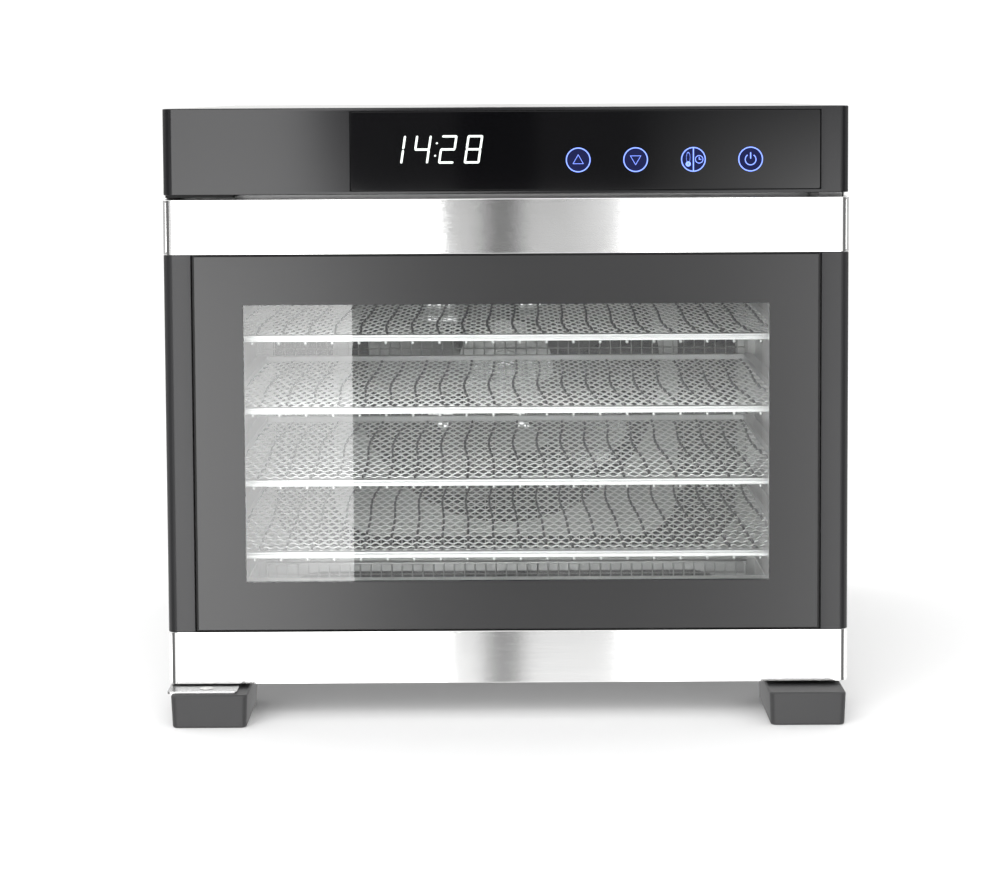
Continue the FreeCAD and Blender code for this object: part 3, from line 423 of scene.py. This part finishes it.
# ---- Control glass: black glass let into the housing, with its edges ground to a fine bevel.
# The display and the touch symbols light up through it.
black_glass = satin("black_glass", (0.0015, 0.0015, 0.002), 0.04, speck=60.0, depth=0.0, IOR=1.5)
glass_corner = 1 * MM
pane = block("control_glass_pane", glass_low, glass_high)
round_off(pane, glass_corner, lambda middle, way: abs(way.y) > 0.99)
soften(pane, fine_edge, 3)
place(pane, "cabinet", "control_black", black_glass, "control_glass")


# ---- Display: four slanted digits, each made from some of seven lit bars, and two dots. They
# stand a hair proud of the glass that they shine through, so that they can be seen.
def glow(name, colour, strength):
    """A light whose colour dims by up to a tenth, in a fine cloud."""
    made, tree, shader = finish(name, tuple(0.1 * value for value in colour), 0.5,
                                Specular_IOR_Level=0.1)
    shader.inputs["Emission Strength"].default_value = strength
    cloud = noise(tree, tree.nodes.new("ShaderNodeTexCoord").outputs["Object"], 400.0)
    shade = tree.nodes.new("ShaderNodeMix")
    shade.data_type = "RGBA"
    tree.links.new(cloud, shade.inputs["Factor"])
    shade.inputs["A"].default_value = (*(value * 0.9 for value in colour), 1)
    shade.inputs["B"].default_value = (*colour, 1)
    tree.links.new(shade.outputs["Result"], shader.inputs["Emission Color"])
    return made


def join_up(name, pieces):
    """Joins pieces into one with its place in its mesh."""
    bpy.ops.object.select_all(action="DESELECT")
    for piece in pieces:
        piece.select_set(True)
    bpy.context.view_layer.objects.active = pieces[0]
    bpy.ops.object.join()
    bpy.ops.object.transform_apply()
    whole = bpy.context.object
    whole.name = name
    return whole


digit_light = glow("digit_light", (0.93, 1.0, 0.95), 1.5)
bar_thick, bar_deep = 1.1 * MM, 0.06 * MM
digit_wide, digit_tall, digit_pitch = 7.9 * MM, 14.2 * MM, 12.9 * MM
slant = 0.149
digit_low = 281.9 * MM
last_left = -21.1 * MM
glass_face = glass_low.y
bars_of = {"1": "bc", "2": "abged", "4": "fgbc", "8": "abcdefg"}


def lit_bar(left, right, low, high):
    """One bar with cut-off corners, half in the glass and half out of it."""
    bar = block("bar", (left, glass_face - bar_deep, low), (right, glass_face + bar_deep, high))
    round_off(bar, bar_thick * 0.42, lambda middle, way: abs(way.y) > 0.99, 1)
    return bar


def digit(letter, left):
    """The lit bars of one digit whose lower left corner is at a place."""
    right, top, thick, gap = left + digit_wide, digit_low + digit_tall, bar_thick, 0.15 * MM
    middle = digit_low + digit_tall / 2
    spots = {
        "a": (left + gap, right - gap, top - thick, top),
        "d": (left + gap, right - gap, digit_low, digit_low + thick),
        "g": (left + gap, right - gap, middle - thick / 2, middle + thick / 2),
        "b": (right - thick, right, middle + gap, top - gap),
        "c": (right - thick, right, digit_low + gap, middle - gap),
        "f": (left, left + thick, middle + gap, top - gap),
        "e": (left, left + thick, digit_low + gap, middle - gap),
    }
    return [lit_bar(*spots[letter_bar]) for letter_bar in bars_of[letter]]


bars = []
reading = "1428"
for place_in_row, letter in enumerate(reversed(reading)):
    bars += digit(letter, last_left - place_in_row * digit_pitch)
centre = last_left - digit_pitch * 1.09 - 0.8 * MM
for height_share in (0.28, 0.72):
    low = digit_low + digit_tall * height_share - bar_thick / 2
    bars.append(lit_bar(centre - bar_thick / 2, centre + bar_thick / 2, low, low + bar_thick))
digits = join_up("display_digits", bars)
lean = Matrix.Shear("XY", 4, (slant, 0))
to_foot = Matrix.Translation((0, 0, -digit_low))
digits.data.transform(to_foot.inverted() @ lean @ to_foot)
place(digits, "cabinet", "display_black", digit_light)


# ---- Touch symbols: four lit rings with up, down, warmth-or-time and power signs, each over a
# faintly lit disc.
symbol_light = glow("symbol_light", (0.20, 0.30, 1.0), 2.4)
disc_light = glow("disc_light", (0.02, 0.03, 0.20), 0.25)
line_thick = 0.6 * MM
ring_radius = 5.9 * MM
symbol_high = 283.4 * MM


def ring(x, z, radius, sides=48, turn=0.0, thick=line_thick, squeeze=1.0):
    """A flat ring or polygon outline on the glass."""
    bpy.ops.object.select_all(action="DESELECT")
    bpy.ops.mesh.primitive_torus_add(
        location=(x, glass_face, z), rotation=(math.pi / 2, turn, 0), major_segments=sides,
        minor_segments=6, major_radius=radius, minor_radius=thick / 2)
    made = bpy.context.object
    bpy.ops.object.transform_apply()
    made.data.transform(Matrix.Translation((x, glass_face, z)) @ Matrix.Diagonal((squeeze, 0.15, 1, 1))
                        @ Matrix.Translation((-x, -glass_face, -z)))
    return made


def stroke(left, right, low, high):
    """A flat line on the glass with softened ends."""
    line = block("line", (left, glass_face - bar_deep, low), (right, glass_face + bar_deep, high))
    soften(line, bar_deep, 1)
    return line


def disc(x, z, radius):
    """A flat round patch on the glass."""
    film = 0.04 * MM
    bpy.ops.object.select_all(action="DESELECT")
    bpy.ops.mesh.primitive_cylinder_add(vertices=48, radius=radius, depth=film,
                                        location=(x, glass_face, z), rotation=(math.pi / 2, 0, 0))
    made = bpy.context.object
    bpy.ops.object.transform_apply()
    soften(made, film / 4, 1)
    return made


up_x, down_x, warm_x, power_x = (value * MM for value in (36.4, 65.2, 94.2, 122.9))
signs = [ring(x, symbol_high, ring_radius) for x in (up_x, down_x, warm_x, power_x)]
arrow_radius, arrow_drop = 3.0 * MM, 0.4 * MM
for x, turn, drop in ((up_x, -math.pi / 2, -arrow_drop), (down_x, math.pi / 2, arrow_drop)):
    signs.append(ring(x, symbol_high + drop, arrow_radius, 3, turn))
signs.append(stroke(warm_x - line_thick / 2, warm_x + line_thick / 2,
                    symbol_high - ring_radius, symbol_high + ring_radius))
stem_x, stem_high, stem_radius, thin_line = warm_x - 2.6 * MM, 0.9 * MM, 2.6 * MM, 0.5 * MM
bulb_low, bulb_radius, bulb_thick = 2.3 * MM, 0.8 * MM, 1.2 * MM
signs.append(ring(stem_x, symbol_high + stem_high, stem_radius, 24, thick=thin_line, squeeze=0.36))
signs.append(ring(stem_x, symbol_high - bulb_low, bulb_radius, 16, thick=bulb_thick))
clock_x, clock_radius, hand_thick = warm_x + 2.9 * MM, 1.9 * MM, 0.4 * MM
minute_hand, hour_hand = 1.3 * MM, 1.1 * MM
signs.append(ring(clock_x, symbol_high, clock_radius, 24, thick=thin_line))
signs.append(stroke(clock_x - hand_thick / 2, clock_x + hand_thick / 2,
                    symbol_high, symbol_high + minute_hand))
signs.append(stroke(clock_x - hand_thick / 2, clock_x + hour_hand,
                    symbol_high - hand_thick / 2, symbol_high + hand_thick / 2))
power_drop, power_radius, opening_high, opening_half = 0.2 * MM, 2.7 * MM, 1.3 * MM, 1.5 * MM
power = ring(power_x, symbol_high - power_drop, power_radius, 32)
pick_faces(power, lambda middle, normal: middle.z > symbol_high + opening_high
           and abs(middle.x - power_x) < opening_half)
bpy.ops.mesh.delete(type="FACE")
bpy.ops.mesh.select_all(action="SELECT")
bpy.ops.mesh.fill_holes(sides=0)
bpy.ops.object.mode_set(mode="OBJECT")
signs.append(power)
bar_foot, bar_head = 0.2 * MM, 3.4 * MM
signs.append(stroke(power_x - line_thick / 2, power_x + line_thick / 2,
                    symbol_high + bar_foot, symbol_high + bar_head))
place(join_up("touch_symbols", signs), "cabinet", "display_black", symbol_light)
discs = [disc(x, symbol_high, ring_radius) for x in (up_x, down_x, warm_x, power_x)]
place(join_up("touch_discs", discs), "cabinet", "display_black", disc_light)


# ---- Door bands: bright brushed stainless channels across the top and the foot of the door,
# folded round at the ends and open to the back.
band_steel = brushed("band_steel", (0.93, 0.93, 0.925), 0.085, "X", 0.02, 0.06, Anisotropic=1.0)
turned = band_steel.node_tree.nodes.new("ShaderNodeTangent")
turned.direction_type = "RADIAL"
turned.axis = "X"
band_steel.node_tree.links.new(turned.outputs[0],
                               band_steel.node_tree.nodes["Principled BSDF"].inputs["Tangent"])
band_sheet, band_corner, door_edge = 1.2 * MM, 5 * MM, 0.4 * MM
for name in ("door_band_upper", "door_band_lower"):
    low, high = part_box(name)
    band = block(name + "_channel", low, high)
    round_off(band, band_corner,
              lambda middle, way: abs(way.z) > 0.99 and middle.y < low.y + spare, 6)
    pick_faces(band, lambda middle, normal: normal.y > 0.99)
    bpy.ops.mesh.inset(thickness=band_sheet)
    bpy.ops.mesh.extrude_region_move(
        TRANSFORM_OT_translate={"value": (0, low.y + band_sheet - high.y, 0)})
    bpy.ops.object.mode_set(mode="OBJECT")
    soften(band, door_edge, 3)
    place(band, "door", "band_steel", band_steel, name)


# ---- Door posts: grey enamelled uprights between the bands, rounded at their outer front edge.
post_grey = satin("post_grey", (0.022, 0.022, 0.023), 0.20, speck=1500.0, depth=0.015,
                  Specular_IOR_Level=0.3)
for name, outward in (("door_post_left", -1), ("door_post_right", 1)):
    low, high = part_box(name)
    outer_x = max(low.x * outward, high.x * outward)
    post = block(name + "_upright", low, high)
    round_off(post, band_corner, lambda middle, way: abs(way.z) > 0.99 and middle.y < low.y + spare
              and middle.x * outward > outer_x - spare, 6)
    soften(post, door_edge, 3)
    place(post, "door", "post_grey", post_grey, name)


# ---- Door glass: a clear toughened pane with ground edges, and a border of grey enamel fired
# on its front. A black gasket closes the gap round it.
def clear(name, colour, rough):
    """Clear glass whose shadow lets the light through."""
    made, tree, shader = finish(name, colour, rough, IOR=1.7, Transmission_Weight=1.0)
    output = tree.nodes["Material Output"]
    path = tree.nodes.new("ShaderNodeLightPath")
    through = tree.nodes.new("ShaderNodeBsdfTransparent")
    through.inputs[0].default_value = (0.93, 0.95, 0.94, 1)
    soft_ray = maths(tree, "MAXIMUM", path.outputs["Is Shadow Ray"], path.outputs["Is Diffuse Ray"])
    blend = tree.nodes.new("ShaderNodeMixShader")
    tree.links.new(soft_ray, blend.inputs[0])
    tree.links.new(shader.outputs[0], blend.inputs[1])
    tree.links.new(through.outputs[0], blend.inputs[2])
    tree.links.new(blend.outputs[0], output.inputs["Surface"])
    smear = noise(tree, tree.nodes.new("ShaderNodeTexCoord").outputs["Object"], 14.0, 4.0)
    gloss = maths(tree, "MULTIPLY_ADD", smear, rough, rough * 0.2)
    tree.links.new(gloss, shader.inputs["Roughness"])
    return made


door_clear = clear("door_clear_glass", (0.97, 0.985, 0.98), 0.004)
low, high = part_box("door_glass")
enamel, enamel_edge = 0.1 * MM, 0.03 * MM
pane = block("door_glass_pane", (low.x, low.y + enamel, low.z), high)
round_off(pane, glass_corner, lambda middle, way: abs(way.y) > 0.99)
soften(pane, door_edge, 2)
place(pane, "door", "clear_glass", door_clear, "door_glass")

border_grey = satin("border_grey", (0.026, 0.026, 0.0265), 0.15, speck=2500.0, depth=0.006,
                    Specular_IOR_Level=0.4)
border_wide = 24.4 * MM
border = block("glass_border_enamel", low, (high.x, low.y + enamel, high.z))
opening = block("window", (low.x + border_wide, low.y - spare, low.z + border_wide),
                (high.x - border_wide, low.y + spare, high.z - border_wide))
carve(border, opening)
soften(border, enamel_edge, 1)
place(border, "door", "glass_border", border_grey)

gasket_black = satin("gasket_black", (0.012, 0.012, 0.012), 0.6, speck=1200.0)
side_gap, end_gap, sunk, short = 1.3 * MM, 0.8 * MM, 1.4 * MM, 0.1 * MM
gasket = block("glass_gasket", (low.x - side_gap, low.y + sunk, low.z - end_gap),
               (high.x + side_gap, high.y - short, high.z + end_gap))
opening = block("glass_room", (low.x, low.y, low.z), (high.x, high.y + spare, high.z))
carve(gasket, opening)
soften(gasket, 2 * short, 1)
place(gasket, "door", "seal_silicone", gasket_black)


# ---- Door back: a steel back sheet with a collar round the window, the surround behind the
# glass, and a soft black seal against the cabinet.
inner_steel = brushed("inner_steel", (0.70, 0.70, 0.69), 0.34, "X", 0.05, 0.12)
dress(inner_steel, "door_inner_frame")
surround_dark = satin("surround_dark", (0.03, 0.03, 0.032), 0.5)
dress(surround_dark, "glass_surround")
low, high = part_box("door_seal")
seal_black = satin("seal_black", (0.02, 0.02, 0.02), 0.7, speck=2000.0, depth=0.08)
seal = block("door_seal_lip", low, high)
seal_wide, seal_round = 4 * MM, 1.1 * MM
opening = block("seal_room", (low.x + seal_wide, low.y - spare, low.z + seal_wide),
                (high.x - seal_wide, high.y + spare, high.z - seal_wide))
carve(seal, opening)
soften(seal, seal_round, 4)
place(seal, "door", "seal_silicone", seal_black, "door_seal")


# ---- Trays: a folded bar frame of bright stainless steel over a woven wire deck. Crimped cross
# wires pass over and under stiffer rods, whose ends are welded under the frame.
tray_bright = brushed("tray_bright", (0.95, 0.95, 0.94), 0.42, "X", 0.04, 0.08)
# The rods are near black: painted shade for the rods that lie under the cross wires.
rod_painted_shade_steel = brushed("rod_painted_shade_steel", (0.10, 0.10, 0.10), 0.34, "Y", 0.04, 0.15)
wire_steel = brushed("wire_steel", (0.95, 0.95, 0.94), 0.30, "X", 0.03, 0.05)
tray_low, tray_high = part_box("tray_1_frame")
tray_top = tray_high.z
bar_wide, bar_high = 6 * MM, 3.3 * MM
wire_radius, rod_radius = 0.5 * MM, 0.75 * MM
rod_pitch, wire_pitch = 13.75 * MM, 13 * MM
wave = rod_pitch / 2.5
wave_steps, wave_high = 8, 0.5 * MM
weave_high, dip, flat_share = 0.62 * MM, 11 * MM, 0.375
rod_end = 0.5 * MM
rows, rods = 23, 22
waves = 53
deck_drop = 0.05 * MM
deck_mean = tray_top - bar_high - deck_drop
deck_middle = (tray_low.y + tray_high.y) / 2
first_row = deck_middle - (rows - 1) / 2 * wire_pitch


def wire_end(name, place_at, radius, turn):
    """A six-sided ring that a wire is drawn from, in edit mode with the ring selected."""
    bpy.ops.object.select_all(action="DESELECT")
    bpy.ops.mesh.primitive_circle_add(vertices=6, radius=radius, location=place_at, rotation=turn)
    made = bpy.context.object
    made.name = name
    bpy.ops.object.transform_apply()
    bpy.ops.object.mode_set(mode="EDIT")
    bpy.ops.mesh.select_mode(type="EDGE")
    bpy.ops.mesh.select_all(action="SELECT")
    return made


def draw_on(step):
    """Draws the selected ring out by one step."""
    bpy.ops.mesh.extrude_region_move(TRANSFORM_OT_translate={"value": step})


def repeat(piece, count, step, weld=False):
    """Copies a piece in a row, welding each copy to the last where they meet."""
    bpy.context.view_layer.objects.active = piece
    bpy.ops.object.modifier_add(type="ARRAY")
    row = piece.modifiers[-1]
    row.use_relative_offset = False
    row.use_constant_offset = True
    row.constant_offset_displace = step
    row.count = count
    row.use_merge_vertices = weld
    row.merge_threshold = 0.00001
    bpy.ops.object.modifier_apply(modifier=row.name)


def close_ends(piece):
    """Caps a wire's open ends, turns its faces outwards and shades it smooth."""
    bpy.ops.object.select_all(action="DESELECT")
    piece.select_set(True)
    bpy.context.view_layer.objects.active = piece
    bpy.ops.object.mode_set(mode="EDIT")
    bpy.ops.mesh.select_mode(type="EDGE")
    bpy.ops.mesh.select_all(action="SELECT")
    bpy.ops.mesh.fill_holes(sides=0)
    bpy.ops.mesh.normals_make_consistent(inside=False)
    bpy.ops.object.mode_set(mode="OBJECT")
    bpy.ops.object.shade_smooth_by_angle(angle=math.radians(70))


def cross_wires(first, sign, count):
    """Every second crimped cross wire of a deck."""
    start = Vector((-waves * wave / 2, first_row + first * wire_pitch, deck_mean))
    made = wire_end("cross_wire", start, wire_radius, (0, math.pi / 2, 0))
    rise = [sign * wave_high * math.sin(2 * math.pi * n / wave_steps) for n in range(wave_steps + 1)]
    for before, after in zip(rise, rise[1:]):
        draw_on((wave / wave_steps, 0, after - before))
    bpy.ops.object.mode_set(mode="OBJECT")
    repeat(made, waves, (wave, 0, 0), weld=True)
    close_ends(made)
    repeat(made, count, (0, 2 * wire_pitch, 0))
    return made


def wander(depth_share, number):
    """How far the rods of a tray stray sideways at a share of its depth."""
    slow, quick = 1.5 * MM, 0.6 * MM
    slow_start, quick_start = 0.5 * number, 1.7 * number
    turn = 2 * math.pi * depth_share
    return (slow * (math.sin(turn + slow_start) - math.sin(slow_start))
            + quick * (math.sin(2 * turn + quick_start) - math.sin(quick_start)))


def deck_rods(number, first, sign, count):
    """Every second rod of a deck: it dips under the frame at its ends and weaves between."""
    near, far = tray_low.y + rod_end, tray_high.y - rod_end
    weld_z = tray_top - bar_high - rod_radius
    steps = 4 * rows
    route = []
    for n in range(steps + 1):
        y = near + (far - near) * n / steps
        share = (y - near) / (far - near)
        edge = min(1.0, min(y - near, far - y) / dip)
        edge = max(0.0, (edge - flat_share) / (1 - flat_share))
        weave = -sign * weave_high * math.cos(math.pi * (y - first_row) / wire_pitch)
        z = weld_z + (deck_mean + weave - weld_z) * edge
        route.append(Vector(((first - (rods - 1) / 2) * rod_pitch + wander(share, number) * edge, y, z)))
    made = wire_end("deck_rod", route[0], rod_radius, (math.pi / 2, 0, 0))
    for before, after in zip(route, route[1:]):
        draw_on(after - before)
    bpy.ops.object.mode_set(mode="OBJECT")
    close_ends(made)
    repeat(made, count, (2 * rod_pitch, 0, 0))
    return made


frame_corner, rail_lip, rail_edge = 2.2 * MM, 1.05 * MM, 0.45 * MM
groove_side, groove_deep = 0.25 * MM, 0.45 * MM


def tray_frame():
    """The bar frame, with a pressed groove along the front and back rails."""
    bpy.ops.object.select_all(action="DESELECT")
    size = tray_high - tray_low
    bpy.ops.mesh.primitive_plane_add(size=1, location=((tray_low + tray_high) / 2).xy.to_3d()
                                     + Vector((0, 0, tray_top)))
    made = bpy.context.object
    made.scale = (size.x, size.y, 1)
    bpy.ops.object.transform_apply()
    bpy.ops.object.mode_set(mode="EDIT")
    bpy.ops.mesh.select_all(action="SELECT")
    bpy.ops.mesh.inset(thickness=bar_wide)
    bpy.ops.mesh.delete(type="FACE")
    bpy.ops.mesh.select_all(action="SELECT")
    bpy.ops.mesh.extrude_region_move(TRANSFORM_OT_translate={"value": (0, 0, -bar_high)})
    bpy.ops.mesh.select_all(action="SELECT")
    bpy.ops.mesh.normals_make_consistent(inside=False)
    bpy.ops.object.mode_set(mode="OBJECT")
    round_off(made, frame_corner, lambda middle, way: abs(way.z) > 0.99
              and abs(middle.x) > tray_high.x - spare, 4)
    pick_faces(made, lambda middle, normal: abs(normal.y) > 0.99
               and (middle.y < tray_low.y + spare or middle.y > tray_high.y - spare))
    bpy.ops.mesh.inset(thickness=rail_lip)
    bpy.ops.mesh.inset(thickness=groove_side, depth=-groove_deep)
    bpy.ops.object.mode_set(mode="OBJECT")
    soften(made, rail_edge, 3)
    return made


bead_radius = 0.95 * MM


def weld_beads(name):
    """The weld at each end of every rod, in two rows under the frame."""
    bpy.ops.object.select_all(action="DESELECT")
    spot = (-(rods - 1) / 2 * rod_pitch, tray_low.y + rod_end, tray_top - bar_high - rod_radius)
    bpy.ops.mesh.primitive_ico_sphere_add(subdivisions=2, radius=bead_radius, location=spot)
    made = bpy.context.object
    made.name = name
    bpy.ops.object.transform_apply()
    repeat(made, rods, (rod_pitch, 0, 0))
    repeat(made, 2, (0, tray_high.y - tray_low.y - 2 * rod_end, 0))
    bpy.ops.object.shade_smooth()
    return made


frame_model = tray_frame()
wires_model = join_up("wires", [cross_wires(0, 1, (rows + 1) // 2), cross_wires(1, -1, rows // 2)])
for number in range(1, 6):
    lift = Matrix.Translation((0, 0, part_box("tray_%d_frame" % number)[1].z - tray_top))
    body = "tray_%d" % number
    for model, kind, material in ((frame_model, "frame", tray_bright),
                                  (wires_model, "wires", wire_steel)):
        made = model.copy()
        made.data = model.data.copy()
        bpy.context.collection.objects.link(made)
        made.name = "tray_%d_%s" % (number, "rail" if kind == "frame" else "cross_wires")
        made.data.transform(lift)
        place(made, body, "tray_steel", material, "tray_%d_%s" % (number, kind))
    made = join_up("tray_%d_rods" % number, [deck_rods(number, 0, 1, rods // 2),
                                             deck_rods(number, 1, -1, rods // 2)])
    made.data.transform(lift)
    place(made, body, "tray_steel", rod_painted_shade_steel)
    made = weld_beads("tray_%d_welds" % number)
    made.data.transform(lift)
    place(made, body, "tray_steel", tray_bright)
bpy.data.objects.remove(frame_model)
bpy.data.objects.remove(wires_model)


# ---- Liner: plain stainless sheets round the cavity, with pressed ledges that carry the trays.
liner_steel = brushed("liner_steel", (0.72, 0.72, 0.71), 0.30, "Y", 0.05, 0.10)
dress(liner_steel, "liner_left", "liner_right", "liner_roof")
# The front frame is dark grey steel: painted shade for the gap above the door, where it shows.
frame_painted_shade_steel = brushed("frame_painted_shade_steel", (0.30, 0.30, 0.30), 0.30, "X", 0.05, 0.10)
dress(frame_painted_shade_steel, "front_frame")
floor_steel = brushed("floor_steel", (0.55, 0.55, 0.55), 0.06, "Y", 0.0, 0.06)
dress(floor_steel, "liner_floor")
wall_steel = brushed("wall_steel", (0.60, 0.60, 0.59), 0.34, "X", 0.05, 0.10)
dress(wall_steel, "fan_wall", "fan_baffle")


# ---- Fan guard: a mesh of thin bright wires, welded at every crossing into an edge strip.
guard_wire = brushed("guard_wire", (0.55, 0.55, 0.54), 0.28, "Z", 0.03, 0.15)
low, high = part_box("fan_guard")
guard_pitch, guard_radius, strip, strip_edge = 6.5 * MM, 0.42 * MM, 1.5 * MM, 0.3 * MM


def guard_wires(along_x):
    """All the wires of the guard that run one way."""
    size = high - low
    length, room = (size.x, size.z) if along_x else (size.z, size.x)
    count = int((room - 2 * strip) / guard_pitch)
    start = (low + high) / 2
    start.y = high.y - guard_radius if along_x else low.y + guard_radius
    if along_x:
        start.z -= (count - 1) * guard_pitch / 2
    else:
        start.x -= (count - 1) * guard_pitch / 2
    bpy.ops.object.select_all(action="DESELECT")
    bpy.ops.mesh.primitive_cylinder_add(
        vertices=8, radius=guard_radius, depth=length - strip, location=start,
        rotation=(0, math.pi / 2, 0) if along_x else (0, 0, 0))
    made = bpy.context.object
    bpy.ops.object.transform_apply()
    bpy.ops.object.shade_smooth_by_angle(angle=math.radians(60))
    repeat(made, count, (0, 0, guard_pitch) if along_x else (guard_pitch, 0, 0))
    return made


edge = block("guard_edge", low, high)
opening = block("guard_room", (low.x + strip, low.y - spare, low.z + strip),
                (high.x - strip, high.y + spare, high.z - strip))
carve(edge, opening)
soften(edge, strip_edge, 2)
guard = join_up("fan_guard_mesh", [edge, guard_wires(True), guard_wires(False)])
place(guard, "cabinet", "guard_steel", guard_wire, "fan_guard")


# ---- Impeller: five twisted sheet blades riveted to a round hub plate on a turned boss.
blade_steel = brushed("blade_steel", (0.78, 0.78, 0.77), 0.25, "Z", 0.04, 0.08)
low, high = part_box("fan_impeller")
shaft_low, shaft_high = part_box("motor_shaft")
axis_z = (shaft_low.z + shaft_high.z) / 2
wheel_y = (low.y + high.y) / 2
root, tip, chord, plate = 24 * MM, 86 * MM, 45 * MM, 1.2 * MM
blades, blade_turn, blade_step = 5, math.radians(34), math.radians(72)
blade_corner, blade_twist, blade_slant = 14 * MM, math.radians(-14), math.radians(22)
hub_radius, boss_radius, boss_front, boss_back = 30 * MM, 11 * MM, 6 * MM, 9 * MM
rivet_radius, rivet_proud, rivet_places = 2 * MM, 1.1 * MM, (19 * MM, 26 * MM)
turned_edge = 0.4 * MM


def blade(angle):
    """One blade: a sheet with rounded corners, twisted from root to tip and set at a slant."""
    bpy.ops.object.select_all(action="DESELECT")
    bpy.ops.mesh.primitive_plane_add(size=1)
    made = bpy.context.object
    made.scale = (tip - root, chord, 1)
    bpy.ops.object.transform_apply()
    bpy.ops.object.mode_set(mode="EDIT")
    bpy.ops.mesh.select_all(action="SELECT")
    bpy.ops.mesh.bevel(offset=blade_corner, segments=6, affect="VERTICES")
    bpy.ops.mesh.select_all(action="SELECT")
    bpy.ops.mesh.quads_convert_to_tris()
    bpy.ops.mesh.subdivide(number_cuts=3)
    bpy.ops.object.mode_set(mode="OBJECT")
    bpy.ops.object.modifier_add(type="SIMPLE_DEFORM")
    twist = made.modifiers[-1]
    twist.deform_method = "TWIST"
    twist.deform_axis = "X"
    twist.angle = blade_twist
    bpy.ops.object.modifier_apply(modifier=twist.name)
    bpy.ops.object.modifier_add(type="SOLIDIFY")
    thick = made.modifiers[-1]
    thick.thickness = plate
    thick.offset = 0
    bpy.ops.object.modifier_apply(modifier=thick.name)
    bpy.ops.object.shade_smooth_by_angle(angle=math.radians(30))
    stand = Matrix.Rotation(math.pi / 2 + blade_slant, 4, "X")
    out = Matrix.Translation(((root + tip) / 2, 0, 0))
    around = Matrix.Rotation(-angle, 4, "Y")
    made.data.transform(Matrix.Translation((0, wheel_y, axis_z)) @ around @ out @ stand)
    return made


def turned_part(name, radius, near, far, sides=48, x=0.0, z=None):
    """A round part along the fan's axis."""
    bpy.ops.object.select_all(action="DESELECT")
    bpy.ops.mesh.primitive_cylinder_add(
        vertices=sides, radius=radius, depth=far - near,
        location=(x, (near + far) / 2, axis_z if z is None else z), rotation=(math.pi / 2, 0, 0))
    made = bpy.context.object
    made.name = name
    bpy.ops.object.transform_apply()
    soften(made, min(turned_edge, radius / 5), 2)
    return made


wheel = [blade(blade_turn + n * blade_step) for n in range(blades)]
wheel.append(turned_part("hub_plate", hub_radius, wheel_y - plate, wheel_y))
wheel.append(turned_part("boss", boss_radius, wheel_y - boss_front, wheel_y + boss_back))
for n in range(blades):
    for out in rivet_places:
        spot = blade_turn + n * blade_step
        wheel.append(turned_part("rivet", rivet_radius, wheel_y - plate - rivet_proud,
                                 wheel_y - plate, 16,
                                 out * math.cos(spot), axis_z + out * math.sin(spot)))
wheel = join_up("impeller_wheel", wheel)
place(wheel, "fan", "fan_steel", blade_steel, "fan_impeller")
turned_steel = brushed("turned_steel", (0.62, 0.62, 0.62), 0.22, "Y", 0.03, 0.1)
dress(turned_steel, "motor_shaft", "impeller_nut", "hinge_pin_upper", "hinge_pin_lower",
      "temperature_probe")


# ---- Fan room: a tubular heater ring, the motor on its cross bracket, and the baffle's posts.
heater_dark = satin("heater_dark", (0.10, 0.085, 0.075), 0.45, metal=0.5)
dress(heater_dark, "heater")
motor_black = satin("motor_black", (0.03, 0.03, 0.032), 0.4)
dress(motor_black, "fan_motor", "thermal_cutout", "catch_magnet")
galvanised = brushed("galvanised", (0.5, 0.5, 0.5), 0.4, "X", 0.05, 0.15)
dress(galvanised, "base_plate", "catch_plate")
dull_steel = brushed("dull_steel", (0.04, 0.04, 0.04), 0.45, "X", 0.05, 0.2)
dress(dull_steel, "motor_bracket", "baffle_posts")


# ---- Electronics: fibreglass boards with their parts, out of sight behind the panel.
board_green = satin("board_green", (0.03, 0.16, 0.07), 0.5)
dress(board_green, "touch_board", "power_board")
display_black = satin("display_black", (0.01, 0.01, 0.012), 0.3)
dress(display_black, "display_module")


# ---- Feet: four moulded blocks of dark grey plastic, a little narrower at the bottom, with soft
# edges.
foot_grey = satin("foot_grey", (0.040, 0.040, 0.041), 0.5, speck=1600.0, depth=0.12)
foot_taper, foot_corner, foot_edge = (0.965, 0.98, 1), 3 * MM, 1.1 * MM
for name in ("foot_front_left", "foot_front_right", "foot_rear_left", "foot_rear_right"):
    low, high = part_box(name)
    foot = block(name + "_moulding", low, high)
    pick_faces(foot, lambda middle, normal: normal.z < -0.99)
    bpy.ops.transform.resize(value=foot_taper)
    bpy.ops.object.mode_set(mode="OBJECT")
    round_off(foot, foot_corner, lambda middle, way: abs(way.z) > 0.9)
    soften(foot, foot_edge, 4)
    place(foot, "cabinet", "foot_grey", foot_grey, name)


# ---- Hinge plates: steel plates that carry the hinge pins. The lower one is bright, and the upper
# one, in the gap above the door, is satin black: painted shade for that gap.
plate_steel = brushed("plate_steel", (0.42, 0.42, 0.42), 0.25, "X", 0.03, 0.08)
dress(plate_steel, "hinge_plate_lower")
# Satin black: painted shade for the upper plate in the gap above the door.
plate_painted_shade_black = satin("plate_painted_shade_black", (0.012, 0.012, 0.012), 0.4, Specular_IOR_Level=0.2)
dress(plate_painted_shade_black, "hinge_plate_upper")


# ---- Screws: zinc-plated, with round heads.
screw_zinc = brushed("screw_zinc", (0.66, 0.66, 0.64), 0.25, "X", 0.03, 0.1)
dress(screw_zinc, "screws")


# ---- Rear: a flat back sheet with air slots, a pressed cover over the motor, and the inlet.
dress(shell_steel, "rear_cover", "motor_cover")
black_plastic = satin("black_plastic", (0.02, 0.02, 0.02), 0.45, speck=1800.0, depth=0.1)
dress(black_plastic, "power_inlet", "hinge_bush_upper", "hinge_bush_lower", "door_stop")
pin_brass = brushed("pin_brass", (0.75, 0.62, 0.35), 0.25, "Y", 0.03, 0.1)
dress(pin_brass, "inlet_pins")


def corners(box):
    """A box's two corners as plain lists."""
    return [[float(value) for value in corner] for corner in box]
